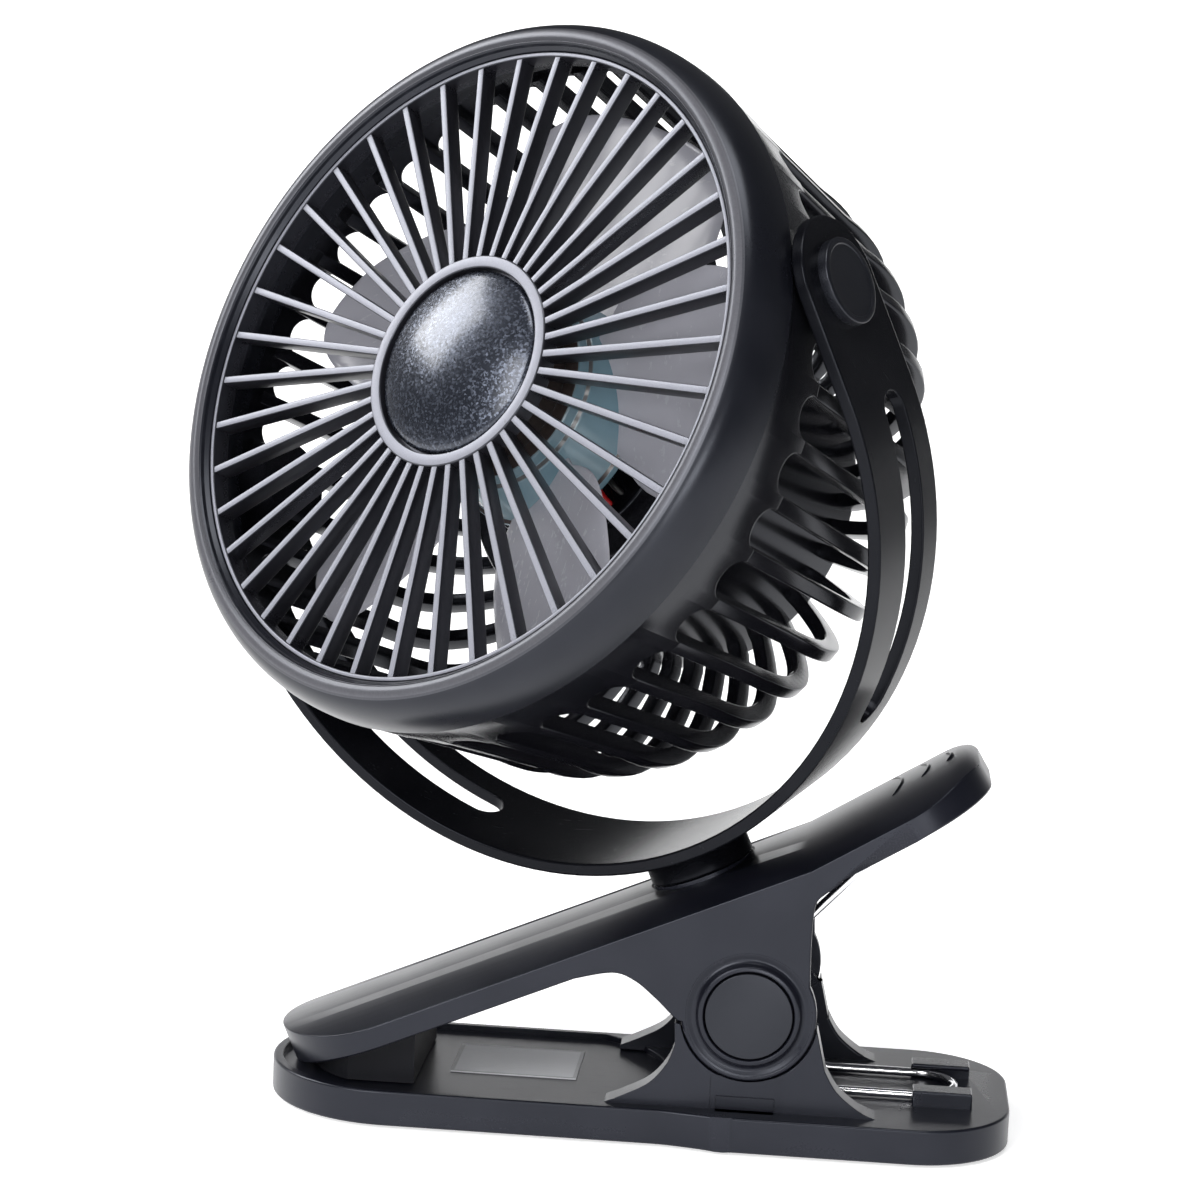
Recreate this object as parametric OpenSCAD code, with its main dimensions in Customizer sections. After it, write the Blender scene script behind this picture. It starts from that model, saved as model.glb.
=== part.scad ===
// Clip-on camping fan: a spring clip, a swivel neck, a U-shaped yoke and a tilting
// fan head with its cell, motor and board inside. Millimetres, +Z up, clip along X.
// The origin is on the underside of the lower jaw.

/* [Lower jaw] */
// Distance from the origin to the rounded nose
base_nose = 66.4; // [60:0.2:76]
// Distance from the origin to the square tail
base_tail = 85.1; // [82:0.1:95]
// Width in front of the lugs
base_front_w = 53.6; // [52:0.2:60]
// Width behind the lugs
base_rear_w = 58; // [54:0.5:66]
// Radius of the two tail corners
base_corner = 20; // [10:0.5:24]
// Place of the step in width
bump_x = 22; // [12:1:30]
// Length of the step in width
bump_len = 16; // [8:1:24]
// Height of the rim above the ground
base_h = 7.7; // [7.6:0.1:9]
// Width of the rim and thickness of the side wall
base_wall = 2; // [1.8:0.1:2.6]
// Depth of the recess inside the rim
recess_depth = 1.2; // [1:0.1:2.2]
// Thickness of the recess floor
floor_t = 2; // [1.6:0.1:2.1]
// Where the recess meets the raised deck
deck_x = 15.5; // [8:0.5:17]
// Radius of the arc where the deck starts
deck_r = 28; // [26:1:60]
// Thickness of the bottom cover
plate_t = 1.8; // [1.6:0.1:2]
// Thickness of the grip pad under the cover
foot_t = 1.2; // [1:0.1:1.4]
// How far the grip pad stands out
foot_proud = 0.6; // [0.4:0.1:0.8]
// Length of the blank label
label_l = 26; // [16:1:30]
// Width of the blank label
label_w = 20; // [12:1:28]
// Thickness of the blank label
label_t = 0.25; // [0.1:0.05:0.3]

/* [Jaw hinge] */
// Place of the hinge along the clip
pivot_x = 32.1; // [30:0.1:36]
// Height of the hinge
pivot_z = 27.2; // [26:0.1:30]
// Radius of the steel axle
axle_r = 2; // [1.5:0.1:2.5]
// Radius of the round end of each cheek
cheek_r = 13.4; // [12.8:0.1:14]
// Thickness of each cheek
cheek_t = 2.8; // [2.4:0.1:3.2]
// Thickness of each lug inside the cheeks
lug_t = 2.8; // [2.4:0.1:3.2]
// Radius of the round end of each lug
lug_r = 11; // [10:0.1:12]
// Radius of the domed cap
cap_r = 8.6; // [7:0.1:9.2]
// Radius of the lip around the cap
cap_lip_r = 9.7; // [9.4:0.1:10.4]
// Radius of the dish around the cap
dish_r = 12.4; // [11.6:0.1:12.6]
// Depth of the dish
dish_depth = 0.8; // [0.5:0.1:1]

/* [Clip spring] */
// Radius of the spring wire
wire_r = 0.9; // [0.7:0.05:1]
// Radius of the coil, to the middle of the wire
coil_r = 5; // [4.2:0.1:6]
// Whole turns in each coil
coil_turns = 2; // [1:1:2]
// Half the spacing of the two legs
leg_y = 8; // [7:0.1:8.4]
// Where a leg bends level, from the hinge
leg_bend = 16; // [14:1:22]
// End of the bend of the legs
leg_end = 74; // [71:0.5:76]
// Distance from the bend of the upper jaw to where the arms press
arm_reach = 22; // [16:1:24]
// Length of an arm beyond where it presses
arm_tip = 4; // [2:0.5:5]
// Length of each hook that holds the legs down
hook_l = 12; // [6:0.5:13]
// Thickness of the hooks
hook_t = 3.4; // [2.4:0.1:4]

/* [Upper jaw] */
// Slope of the upper jaw
lever_tilt = 23.5; // [23:0.1:24]
// Distance from the hinge to the nose, along the slope
lever_nose = 94; // [88:0.5:96]
// Distance from the hinge to the thumb end
lever_thumb = 60; // [54:0.5:64]
// Width of the upper jaw
lever_w = 47; // [46:0.5:49]
// Radius of the thumb end corners
thumb_corner = 17; // [10:0.5:21]
// Where the thumb end starts to rise
bend_u = 22; // [20:0.5:26]
// How steeply the thumb end rises
bend_angle = 8; // [4:0.5:9]
// Height of the crown over the hinge
crown_top = 26.7; // [26:0.1:28]
// Height of the crown over its edges
crown_rise = 3.7; // [2.5:0.1:4]
// Height of the lower edge over the hinge
skirt_v = 18.6; // [18.2:0.1:19.2]
// Thickness of the upper jaw's wall
lever_wall = 2.2; // [1.8:0.1:2.6]
// Underside of the solid nose over the hinge
nose_ceiling = 20.8; // [20:0.1:21.5]
// Front end of the rubber pad
pad_front = -58; // [-58.2:0.1:-54]
// Rear end of the rubber pad
pad_rear = -35; // [-40:0.5:-32]
// Width of the rubber pad
pad_w = 34; // [24:1:38]

/* [Swivel neck] */
// Place of the neck along the slope, from the hinge
neck_u = -0.9; // [-3:0.1:1]
// Radius of the collar
collar_r = 10.9; // [10:0.1:12]
// Height of the collar
collar_h = 4.4; // [4:0.1:8]
// Radius of the stub inside the upper jaw
stub_r = 6; // [5:0.1:7]
// Thickness of the friction washer
friction_t = 0.8; // [0.5:0.1:1]
// Depth of the boss around the neck hole
neck_boss_h = 5; // [3.8:0.1:5.6]
// Thickness of the swivel washer
swivel_washer_t = 1; // [0.6:0.1:1.2]
// Turn of the yoke about the neck
swivel_angle = 26.2; // [0:0.1:90]

/* [Yoke] */
// Thickness of the band
yoke_t = 2.7; // [2.4:0.1:3.4]
// Width of the band
yoke_w = 27; // [26.2:0.2:30]
// Length of the straight arms over the half circle
arm_l = 21; // [19:0.5:30]
// Width of the long slot in each arm
slot_w = 8; // [5:0.5:11]
// Where the slot starts, below the straight arm
slot_start = 4; // [2:1:20]
// Where the slot ends
slot_end = 50; // [30:1:60]
// How far the slot lies behind the middle of the band
slot_back = 2.5; // [0:0.1:4]
// Radius of the caps at the arm ends
yoke_cap_r = 8.5; // [8.1:0.1:10]
// Height of the caps
yoke_cap_h = 2; // [1.9:0.1:3]
// Radius of the head's two pins
pin_r = 5; // [4:0.1:5.4]
// Tilt of the head in the yoke
tilt_angle = 35.2; // [0:0.1:60]

/* [Front ring and grille] */
// Largest radius of the ring
ring_r = 73.5; // [72.5:0.1:76]
// Gap between the ring and the arms
ring_gap = 0.4; // [0.3:0.1:1]
// How far the ring narrows to its front edge
ring_slope = 5.4; // [4.2:0.1:5.9]
// Width of the ring's lip around the opening
ring_lip = 2.1; // [1.8:0.1:3]
// Front face of the ring before the tilt axis
ring_front_z = 23.5; // [22.8:0.1:26]
// Joint of the ring and the cage before the tilt axis
joint_z = 12; // [11.5:0.1:13]
// Depth of the spigot inside the cage
spigot_l = 3.5; // [2:0.1:5]
// Front face of the spokes
grille_z = 21; // [20.4:0.1:22]
// Number of spokes
spoke_n = 40; // [24:1:44]
// Width of a spoke
spoke_w = 1.6; // [1.2:0.1:2]
// Depth of a spoke
spoke_d = 4; // [3:0.1:6]
// Turn of the first spoke
spoke_phase = 3.8; // [0:0.1:9]
// Thickness of the grille's outer rim
grille_rim = 1; // [0.8:0.1:1.6]
// Outer radius of the hub ring
hub_ring_r = 22.2; // [21:0.1:26]
// Inner radius of the hub ring
hub_bore_r = 19.6; // [18:0.1:20.2]
// Height of the domed cap in the hub ring
dome_h = 4; // [2:0.1:5]

/* [Rear cage] */
// Number of ribs
rib_n = 40; // [24:1:42]
// Width of a rib
rib_w = 3; // [2.2:0.1:3.2]
// Depth of a rib
rib_d = 3.8; // [3:0.1:5.5]
// Turn of the first rib
rib_phase = 2.1; // [0:0.1:9]
// How much narrower than the ring the cage is where its back starts to curve in
cage_taper = 4.4; // [3:0.1:4.9]
// Where the back starts to curve in, behind the tilt axis
curve_z = 29; // [26:0.5:32]
// Depth of the curved back
curve_depth = 40; // [38.5:0.1:42]
// Width of the plain band behind the joint
band_l = 9.7; // [8:0.1:12]
// Thickness of the band
band_t = 2; // [1.6:0.1:2.6]
// Radius of the boss around each pin
boss_r = 9; // [8.5:0.1:11]

/* [Rear pod] */
// Outer radius of the rear pod
pod_r = 36; // [35.9:0.1:37.5]
// Thickness of the pod's wall
pod_wall = 1.6; // [1.2:0.1:1.7]
// Rear end of the pod behind the tilt axis
pod_rear = 67.5; // [67:0.1:70]
// Shoulder of the pod behind the tilt axis
pod_shoulder = 28; // [27:0.1:29]
// Radius of the motor housing in front of the pod
housing_r = 25; // [24.6:0.1:26]
// Front of the motor housing behind the tilt axis
housing_front = 17; // [16.4:0.1:18]
// Thickness of the housing's walls
housing_wall = 2; // [1.6:0.1:2.2]
// Thickness of the rear cover
cover_t = 2; // [1.6:0.1:2.4]
// Radius of the circle of cover screws
cover_pitch_r = 29; // [26:0.1:29.5]

/* [Rotor] */
// Number of blades
blade_n = 5; // [3:1:6]
// Gap between the blade tips and the ribs
tip_gap = 3.8; // [2.8:0.5:14.8]
// Width of a blade
blade_w = 42; // [30:1:44]
// Thickness of a blade
blade_t = 1.6; // [1.2:0.1:2.2]
// Slant of the blades
blade_pitch = 23; // [15:1:25]
// Middle of the blades behind the tilt axis
blade_mid = 3; // [2:0.1:3.6]
// Turn of the first blade
blade_phase = 132; // [0:1:359]
// Radius of the hub at the front
hub_front_r = 19.8; // [19.6:0.1:21]
// Radius of the hub at the back
hub_rear_r = 23.4; // [22:0.1:23.8]
// Radius of the flange at the back of the hub
flange_r = 24.4; // [24:0.1:25]
// Front of the hub before the tilt axis
hub_front_z = 7; // [6.8:0.1:8.4]
// Length of the hub
hub_l = 16; // [14:0.1:16.6]
// Depth of the dish in the hub's front
hub_dish = 1.8; // [1:0.1:2]

/* [Motor, cell and board] */
// Radius of the motor
motor_r = 12.2; // [11:0.1:12.4]
// Length of the motor
motor_l = 30.8; // [24:0.1:31]
// Radius of the motor's shaft
shaft_r = 1; // [0.8:0.05:1.2]
// Radius of the rechargeable cell
cell_r = 9.15; // [7:0.05:9.2]
// Length of the rechargeable cell
cell_l = 65; // [50:0.5:65.2]
// Middle of the cell behind the tilt axis
cell_z = 42.6; // [42.4:0.1:43]
// Thickness of the circuit board
board_t = 1.6; // [1:0.1:1.8]
// Radius of the leads
lead_r = 0.65; // [0.4:0.05:0.8]
// Radius of the push button
button_r = 6; // [4:0.1:7]
// Travel of the push button
button_travel = 0.6; // [0.3:0.05:0.8]
// Width of the charging socket
socket_w = 9; // [7.5:0.1:9.5]
// Height of the charging socket
socket_h = 3.3; // [2.6:0.1:3.6]
// Distance of the charging socket from the middle
socket_y = 19; // [17:0.5:22]
// Radius of each indicator lens
lens_r = 1.4; // [1:0.1:2]

/* [Clearances and screws] */
// Radial clearance of a turning fit
turn_fit = 0.05; // [0.02:0.01:0.08]
// Gap between parts that pass each other
pass_gap = 0.3; // [0.25:0.05:0.4]
// Gap between parts that rest on each other and turn
face_gap = 0.15; // [0.1:0.05:0.2]
// Clearance of parts that are set into one another
set_fit = 0.1; // [0.05:0.01:0.15]
// Thread radius of the small screws
screw_r = 1.1; // [0.9:0.05:1.2]
// Head radius of the small screws
screw_head_r = 2; // [1.8:0.1:2.1]
// Head height of the small screws
screw_head_h = 0.7; // [0.5:0.05:0.8]
// Thread radius of the tilt and swivel screws
big_screw_r = 1.5; // [1.2:0.05:1.6]
// Head radius of the tilt and swivel screws
big_head_r = 2.8; // [2.4:0.1:3.2]
// Head height of the tilt and swivel screws
big_head_h = 1.4; // [1:0.1:1.5]

/* [Hidden] */
$fn = 96;
eps = 0.01;

// Lower jaw
front_half = base_front_w / 2;
rear_half = base_rear_w / 2;
floor_z = base_h - recess_depth;
roof_z = floor_z - floor_t;
plate_z = foot_proud;
plate_top = plate_z + plate_t;
foot_inset = 5;
label_at = [-16, 4];
base_screw_at = [[-44, 12], [-44, -12], [64, 18], [64, -18]];
boss_base_r = 3.4;
pilot_skin = 0.7;

// Jaw hinge
lever_half = lever_w / 2;
cheek_in = lever_half - cheek_t;
lug_out = cheek_in - pass_gap;
lug_in = lug_out - lug_t;
lug_seat_r = cheek_r + pass_gap;
dish_y = lever_half - dish_depth;
cap_y = dish_y + pass_gap;
cap_lip_t = 0.4;
cap_t = 1.2;
axle_half = cap_y + cap_t / 2;

// Clip spring
wire_z = base_h + wire_r + face_gap;
hook_top = wire_z + wire_r + face_gap + 1;
hook_x = leg_end - hook_l + hook_t;
arm_y = lug_in - wire_r - 0.6;
coil_y = arm_y - 2 * wire_r - 0.2;

// Upper jaw
crown_r = (lever_half * lever_half + crown_rise * crown_rise) / (2 * crown_rise);
crown_axis_v = crown_top - crown_r;
neck_seat_v = crown_top - 0.8;
collar_v = neck_seat_v + friction_t + face_gap;
neck_boss_v = neck_seat_v - neck_boss_h;
jaw_gap = pass_gap;

// Yoke and head
yoke_in = ring_r + ring_gap;
yoke_out = yoke_in + yoke_t;
head_v = collar_v + collar_h + yoke_out + arm_l;
well_r = 7.2;
well_depth = 0.9;
well_x = yoke_out - well_depth;
tilt_washer_r = well_r - 0.4;
tilt_washer_t = 0.5;
pin_end = well_x + 0.2;
boss_x = yoke_in - pass_gap;
stub_end_v = neck_boss_v - face_gap;

// Grille, cage and pod
ring_front_r = ring_r - ring_slope;
opening_r = ring_front_r - ring_lip;
grille_r = opening_r - set_fit;
dome_z = grille_z - 0.4;
grille_back = grille_z - spoke_d + 1.6;
dome_r = hub_bore_r - 0.45;
pod_in = pod_r - pod_wall;
cage_front_r = ring_r - 0.2;
cage_r = ring_r - cage_taper;
slot_r = (2 * PI * cage_r / rib_n - rib_w) / 2 + 0.35;
slot_z = joint_z - band_l - slot_r;
housing_in = housing_r - housing_wall;
cover_z = pod_rear - cover_t;
saddle_x = housing_in + 2.6;
board_z = cell_z + cell_r + 2.5;
board_rear = board_z + board_t;
post_r = 2.8;
socket_end = pod_rear - 0.2;

// Rotor and motor
motor_front = 0.2;
mount_t = 1.6;
blade_r = cage_r - rib_d - tip_gap;
mount_r = motor_r + set_fit + 1.9;
mount_flange_r = mount_r + 5.3;
mount_screw_r = mount_r + 2.8;
motor_screw_at = 8.5;
bearing_r = 3;
hub_web_z = hub_front_z - 3.5;
hub_rear_z = hub_front_z - hub_l;
lead_hole_r = 1.2;
lead_turn = -66;
lead_step = 9;
lead_ring = 21.6;
switch_h = 3.5;
plunger_h = 0.6;
stem_end = board_rear + switch_h + plunger_h + button_travel + 0.05;

// Frames: the upper jaw, the neck, the tilt axis and the fan, whose Z looks forward.
module at_jaw() {
    translate([pivot_x, 0, pivot_z]) rotate([0, -lever_tilt, 0]) children();
}

module at_neck() {
    at_jaw() translate([neck_u, 0, 0]) rotate([0, 0, -swivel_angle]) children();
}

module at_yoke() {
    at_neck() translate([0, 0, head_v]) children();
}

module at_fan() {
    at_yoke() rotate([-tilt_angle, 0, 0]) rotate([90, 0, 0]) children();
}

// Draws in the vertical plane along the clip and gives it a thickness from y0 to y1.
module side_plate(y0, y1) {
    translate([0, y1, 0]) rotate([90, 0, 0]) linear_extrude(y1 - y0) children();
}

module both_sides() {
    children();
    mirror([0, 1, 0]) children();
}

// Outline of the lower jaw, drawn in by d.
function arc(c, r, a0, a1, n) =
    [for (i = [0 : n]) c + r * [cos(a0 + (a1 - a0) * i / n), sin(a0 + (a1 - a0) * i / n)]];
function step_side(d, s) =
    [for (i = [0 : 10]) let (t = s > 0 ? 1 - i / 10 : i / 10)
        [bump_x + bump_len * (t - 0.5),
            s * (front_half + (rear_half - front_half) * (1 - cos(180 * t)) / 2 - d)]];
function base_outline(d) = concat(
    arc([front_half - base_nose, 0], front_half - d, 90, 270, 36),
    step_side(d, -1),
    arc([base_tail - base_corner, base_corner - rear_half], base_corner - d, -90, 0, 16),
    arc([base_tail - base_corner, rear_half - base_corner], base_corner - d, 0, 90, 16),
    step_side(d, 1));

// A smooth curve through points, n steps from each to the next.
function smooth(p, n = 5) = concat(
    [for (i = [0 : len(p) - 2])
        let (a = p[max(i - 1, 0)], b = p[i], c = p[i + 1], d = p[min(i + 2, len(p) - 1)])
        for (k = [0 : n - 1]) let (t = k / n)
            b + (c - a) * t / 2 + (2 * a - 5 * b + 4 * c - d) * t * t / 2
                + (3 * b - a - 3 * c + d) * t * t * t / 2],
    [p[len(p) - 1]]);

// A tube through rings, each given as its centre and its two cross directions.
module tube(rings, r, sides) {
    n = len(rings);
    points = [for (q = rings) for (k = [0 : sides - 1])
        q[0] + r * (cos(360 * k / sides) * q[1] + sin(360 * k / sides) * q[2])];
    walls = [for (i = [0 : n - 2]) for (k = [0 : sides - 1])
        [i * sides + k, i * sides + (k + 1) % sides,
            (i + 1) * sides + (k + 1) % sides, (i + 1) * sides + k]];
    first = [for (k = [0 : sides - 1]) sides - 1 - k];
    last = [for (k = [0 : sides - 1]) (n - 1) * sides + k];
    polyhedron(points, concat([first], walls, [last]), convexity = 8);
}

module base_screw_places() {
    for (p = base_screw_at) translate([p[0], p[1], 0]) children();
}

// Flared side of a lug, as distance from the hinge and share of the hinge's height.
flare_left = [[-28, 0], [-24, 0.092], [-19.1, 0.236], [-15.8, 0.446], [-14.4, 0.646]];
flare_right = [[15.5, 0.472], [18.1, 0.256], [22.5, 0.077], [26, 0]];
function flare_z(k) = base_h + k * (pivot_z - base_h);
function flare(list) = [for (q = smooth(list)) [pivot_x + q[0], flare_z(q[1])]];

module lug_inner_outline() {
    polygon(concat(
        [[pivot_x - 28, base_h - 1]],
        flare(flare_left),
        [[pivot_x - lug_r + 0.2, pivot_z], [pivot_x + lug_r - 0.2, pivot_z]],
        [[pivot_x + 13.4, flare_z(0.84)]],
        flare(flare_right),
        [[pivot_x + 26, base_h - 1]]));
    translate([pivot_x, pivot_z]) circle(lug_r);
}

module lug_outer_outline() {
    difference() {
        polygon(concat(
            [[pivot_x - 28, base_h - 1]],
            flare(flare_left),
            [[pivot_x - cheek_r - 1.2, pivot_z - 2.4], [pivot_x - cheek_r + 0.5, pivot_z - 2.8]],
            [[pivot_x - 6, pivot_z - 7], [pivot_x + 6, pivot_z - 7]],
            [[pivot_x + cheek_r + 0.1, pivot_z - 1.9]],
            flare(flare_right),
            [[pivot_x + 26, base_h - 1]]));
        translate([pivot_x, pivot_z]) circle(lug_seat_r);
    }
}

module base_tray() {
    color([0.16, 0.16, 0.18])
    difference() {
        union() {
            difference() {
                translate([0, 0, plate_z]) linear_extrude(base_h - plate_z)
                    polygon(base_outline(0));
                // recess in the top, closed behind by the raised deck
                translate([0, 0, floor_z]) linear_extrude(recess_depth + 1)
                    intersection() {
                        polygon(base_outline(base_wall));
                        union() {
                            translate([deck_x - deck_r, 0]) circle(deck_r);
                            translate([-base_nose, -rear_half])
                                square([base_nose + deck_x - deck_r, base_rear_w]);
                        }
                    }
                // hollow underneath
                translate([0, 0, plate_z - 1]) linear_extrude(roof_z - plate_z + 1)
                    polygon(base_outline(base_wall));
            }
            // bosses for the cover screws
            base_screw_places()
                translate([0, 0, plate_top]) cylinder(r = boss_base_r, h = roof_z - plate_top + 0.5);
            // lugs of the hinge
            both_sides() {
                side_plate(lug_in, lug_out) lug_inner_outline();
                side_plate(lug_in, lever_half) lug_outer_outline();
            }
            // hooks over the spring legs
            both_sides() {
                translate([hook_x, leg_y + wire_r + face_gap, base_h - 1])
                    cube([hook_l, hook_t, hook_top - base_h + 1]);
                translate([hook_x, leg_y - wire_r, hook_top - 1])
                    cube([hook_l, 2 * wire_r + face_gap + hook_t, 1]);
            }
        }
        base_screw_places()
            translate([0, 0, plate_z]) cylinder(r = screw_r + 0.05, h = floor_z - pilot_skin - plate_z);
        translate([pivot_x, 0, pivot_z]) rotate([90, 0, 0])
            cylinder(r = axle_r, h = lever_w + 10, center = true);
    }
}

module base_plate() {
    color([0.12, 0.12, 0.13])
    difference() {
        translate([0, 0, plate_z]) linear_extrude(plate_t) polygon(base_outline(base_wall + set_fit));
        translate([0, 0, plate_z - 1]) linear_extrude(foot_t - foot_proud + 1)
            polygon(base_outline(foot_inset - set_fit));
        base_screw_places() {
            translate([0, 0, plate_z]) cylinder(r = screw_r + set_fit, h = plate_t + 1);
            translate([0, 0, plate_z]) cylinder(r = screw_head_r + 0.2, h = foot_t - foot_proud + screw_head_h);
        }
    }
}

module base_screws() {
    color("silver")
    base_screw_places() {
        translate([0, 0, foot_t]) cylinder(r = screw_head_r, h = screw_head_h);
        translate([0, 0, foot_t]) cylinder(r = screw_r, h = floor_z - pilot_skin - foot_t - 0.3);
    }
}

module foot_pad() {
    color([0.25, 0.25, 0.26])
    linear_extrude(foot_t) polygon(base_outline(foot_inset));
}

module label_plate() {
    color([0.6, 0.6, 0.62])
    translate([label_at[0], label_at[1], floor_z + label_t / 2])
        cube([label_l, label_w, label_t], center = true);
}

module pivot_axle() {
    color("silver")
    translate([pivot_x, 0, pivot_z]) rotate([90, 0, 0])
        cylinder(r = axle_r, h = 2 * axle_half, center = true);
}

module pivot_caps() {
    color([0.2, 0.2, 0.22])
    both_sides()
        translate([pivot_x, cap_y, pivot_z]) rotate([-90, 0, 0])
        difference() {
            union() {
                cylinder(r = cap_lip_r, h = cap_lip_t);
                cylinder(r = cap_r, h = cap_t);
            }
            translate([0, 0, -1]) cylinder(r = axle_r, h = cap_t / 2 + 1);
        }
}

// Where a wire leaves the coil for a point p, over the top (s = 1) or under it (s = -1).
function leave_angle(p, s) = atan2(p[1], p[0]) + s * acos(coil_r / norm(p));

leg_foot = [pivot_x + leg_bend, wire_z];
leg_angle = leave_angle([leg_foot[0] - pivot_x, leg_foot[1] - pivot_z], -1) + 360;
// Point of the upper jaw's ceiling that the arm presses on, seen from the hinge
ceiling_v = crown_axis_v + sqrt(pow(crown_r - lever_wall, 2) - arm_y * arm_y);
press_u = bend_u + arm_reach;
press_v = ceiling_v + (press_u - bend_u) * tan(bend_angle) - wire_r - 0.35;
press_at = [press_u * cos(lever_tilt) - press_v * sin(lever_tilt),
    press_u * sin(lever_tilt) + press_v * cos(lever_tilt)];
press_angle = leave_angle(press_at, 1);
coil_angle = leg_angle + 360 * coil_turns - press_angle;
coil_steps = ceil(coil_angle / 30);
bend_steps = 6;

function coil_ring(a, y) =
    [[pivot_x + coil_r * cos(a), y, pivot_z + coil_r * sin(a)], [cos(a), 0, sin(a)], [0, 1, 0]];
function half_spring() = concat(
    [for (i = [0 : coil_steps]) let (t = i / coil_steps)
        coil_ring(press_angle + coil_angle * t, coil_y + (leg_y - coil_y) * t)],
    [[[leg_foot[0], leg_y, leg_foot[1]], [sin(leg_angle + 180) / 8, 0, -1], [0, 1, 0]]],
    [for (i = [0 : bend_steps]) let (f = 90 - 90 * i / bend_steps)
        [[leg_end - leg_y + leg_y * cos(f), leg_y * sin(f), wire_z], [0, 0, -1], [cos(f), sin(f), 0]]]);
function mirrored(q) = [for (v = q) [v[0], -v[1], v[2]]];

module clip_spring() {
    half = half_spring();
    n = len(half);
    color("gainsboro")
    tube(concat(half, [for (i = [1 : n - 1]) mirrored(half[n - 1 - i])]), wire_r, 8);
}

module spring_arms() {
    lie = lever_tilt + bend_angle;
    tip = press_at + arm_tip * [cos(lie), sin(lie)];
    color("gainsboro")
    both_sides()
        tube(concat(
            [[[pivot_x + tip[0], arm_y, pivot_z + tip[1]], [-sin(lie), 0, cos(lie)], [0, 1, 0]]],
            [[[pivot_x + press_at[0], arm_y, pivot_z + press_at[1]],
                [cos(press_angle), 0, sin(press_angle)], [0, 1, 0]]],
            [for (i = [0 : 4]) coil_ring(press_angle + 24 * i, arm_y)]), wire_r, 8);
}

// Plan of the upper jaw, drawn in by d.
module lever_plan(d) {
    nose_c = lever_half - lever_nose;
    translate([nose_c, 0]) circle(lever_half - d);
    translate([nose_c, d - lever_half]) square([lever_thumb - thumb_corner - nose_c, 2 * (lever_half - d)]);
    for (s = [-1, 1])
        translate([lever_thumb - thumb_corner, s * (lever_half - thumb_corner)])
            circle(thumb_corner - d);
    translate([0, thumb_corner - lever_half]) square([lever_thumb - d, 2 * (lever_half - thumb_corner)]);
}

// Cross-section of the upper jaw, crowned on top, drawn in by d, from height v0 up.
module crown_section(d, v0) {
    swing = asin((lever_half + 1) / (crown_r - d));
    polygon(concat(
        [[-lever_half - 1, v0]],
        [for (i = [0 : 24]) let (a = swing * (i / 12 - 1))
            [(crown_r - d) * sin(a), crown_axis_v + (crown_r - d) * cos(a)]],
        [[lever_half + 1, v0]]));
}

// A length of the upper jaw from u0 to u1, from height v0 up to the crown.
module lever_length(d, u0, u1, v0) {
    intersection() {
        translate([0, 0, v0 - 1]) linear_extrude(crown_top - v0 + 3) lever_plan(d);
        translate([u0, 0, 0]) rotate([90, 0, 90]) linear_extrude(u1 - u0) crown_section(d, v0);
    }
}

module raised() {
    translate([bend_u, 0, crown_top - crown_rise]) rotate([0, -bend_angle, 0])
        translate([-bend_u, 0, crown_rise - crown_top]) children();
}

module cheek_outline() {
    circle(cheek_r);
    polygon(concat(
        [[-30, skirt_v + 2]],
        smooth([[-30, skirt_v], [-22.5, skirt_v - 1.4], [-18.9, skirt_v - 4.4],
            [-16.1, 9.1], [-cheek_r - 0.6, 4.2], [-cheek_r + 0.44, 3.4]]),
        [[0, 0]],
        smooth([[cheek_r - 0.6, -0.4], [cheek_r + 1.3, 4.6], [17.7, 11.6], [20.3, skirt_v - 2.2],
            [22.9, skirt_v - 0.85], [26.7, skirt_v + 0.3]]),
        [[26.7, skirt_v + 2]]));
}

module upper_jaw() {
    color([0.17, 0.17, 0.19])
    at_jaw()
    difference() {
        union() {
            difference() {
                union() {
                    lever_length(0, -lever_nose - 1, bend_u, skirt_v);
                    raised() lever_length(0, bend_u - 1, lever_thumb + 1, skirt_v);
                }
                lever_length(lever_wall, -56, bend_u + 1, skirt_v - 1);
                raised() lever_length(lever_wall, bend_u - 0.5, lever_thumb + 1, skirt_v - 1);
                translate([0, 0, skirt_v - 1]) linear_extrude(nose_ceiling - skirt_v + 1)
                    intersection() {
                        lever_plan(lever_wall);
                        translate([-lever_nose, -lever_half]) square([lever_nose - 50, lever_w]);
                    }
            }
            both_sides() side_plate(cheek_in, lever_half) cheek_outline();
            translate([neck_u, 0, neck_boss_v]) cylinder(r = stub_r + 3.4, h = neck_boss_h - 0.5);
        }
        translate([neck_u, 0, neck_seat_v]) cylinder(r = collar_r + pass_gap, h = 5);
        translate([neck_u, 0, 0]) cylinder(r = stub_r + turn_fit, h = crown_top + 1);
        rotate([90, 0, 0]) cylinder(r = axle_r + turn_fit, h = lever_w + 2, center = true);
        both_sides() translate([0, dish_y, 0]) rotate([-90, 0, 0]) cylinder(r = dish_r, h = 5);
    }
}

module jaw_pad() {
    color([0.1, 0.1, 0.1])
    intersection() {
        translate([0, 0, floor_z + jaw_gap]) linear_extrude(30)
            intersection() {
                translate([pad_front, -pad_w / 2]) square([pad_rear - pad_front, pad_w]);
                translate([pad_front + 20, 0]) circle(20);
            }
        at_jaw() translate([-lever_nose - 20, -lever_half, -60])
            cube([lever_nose + 20, lever_w, 60 + nose_ceiling]);
    }
}

module friction_washer() {
    color("silver")
    at_neck() translate([0, 0, neck_seat_v])
    difference() {
        cylinder(r = collar_r - 0.2, h = friction_t);
        translate([0, 0, -1]) cylinder(r = stub_r + 0.2, h = friction_t + 2);
    }
}

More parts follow.
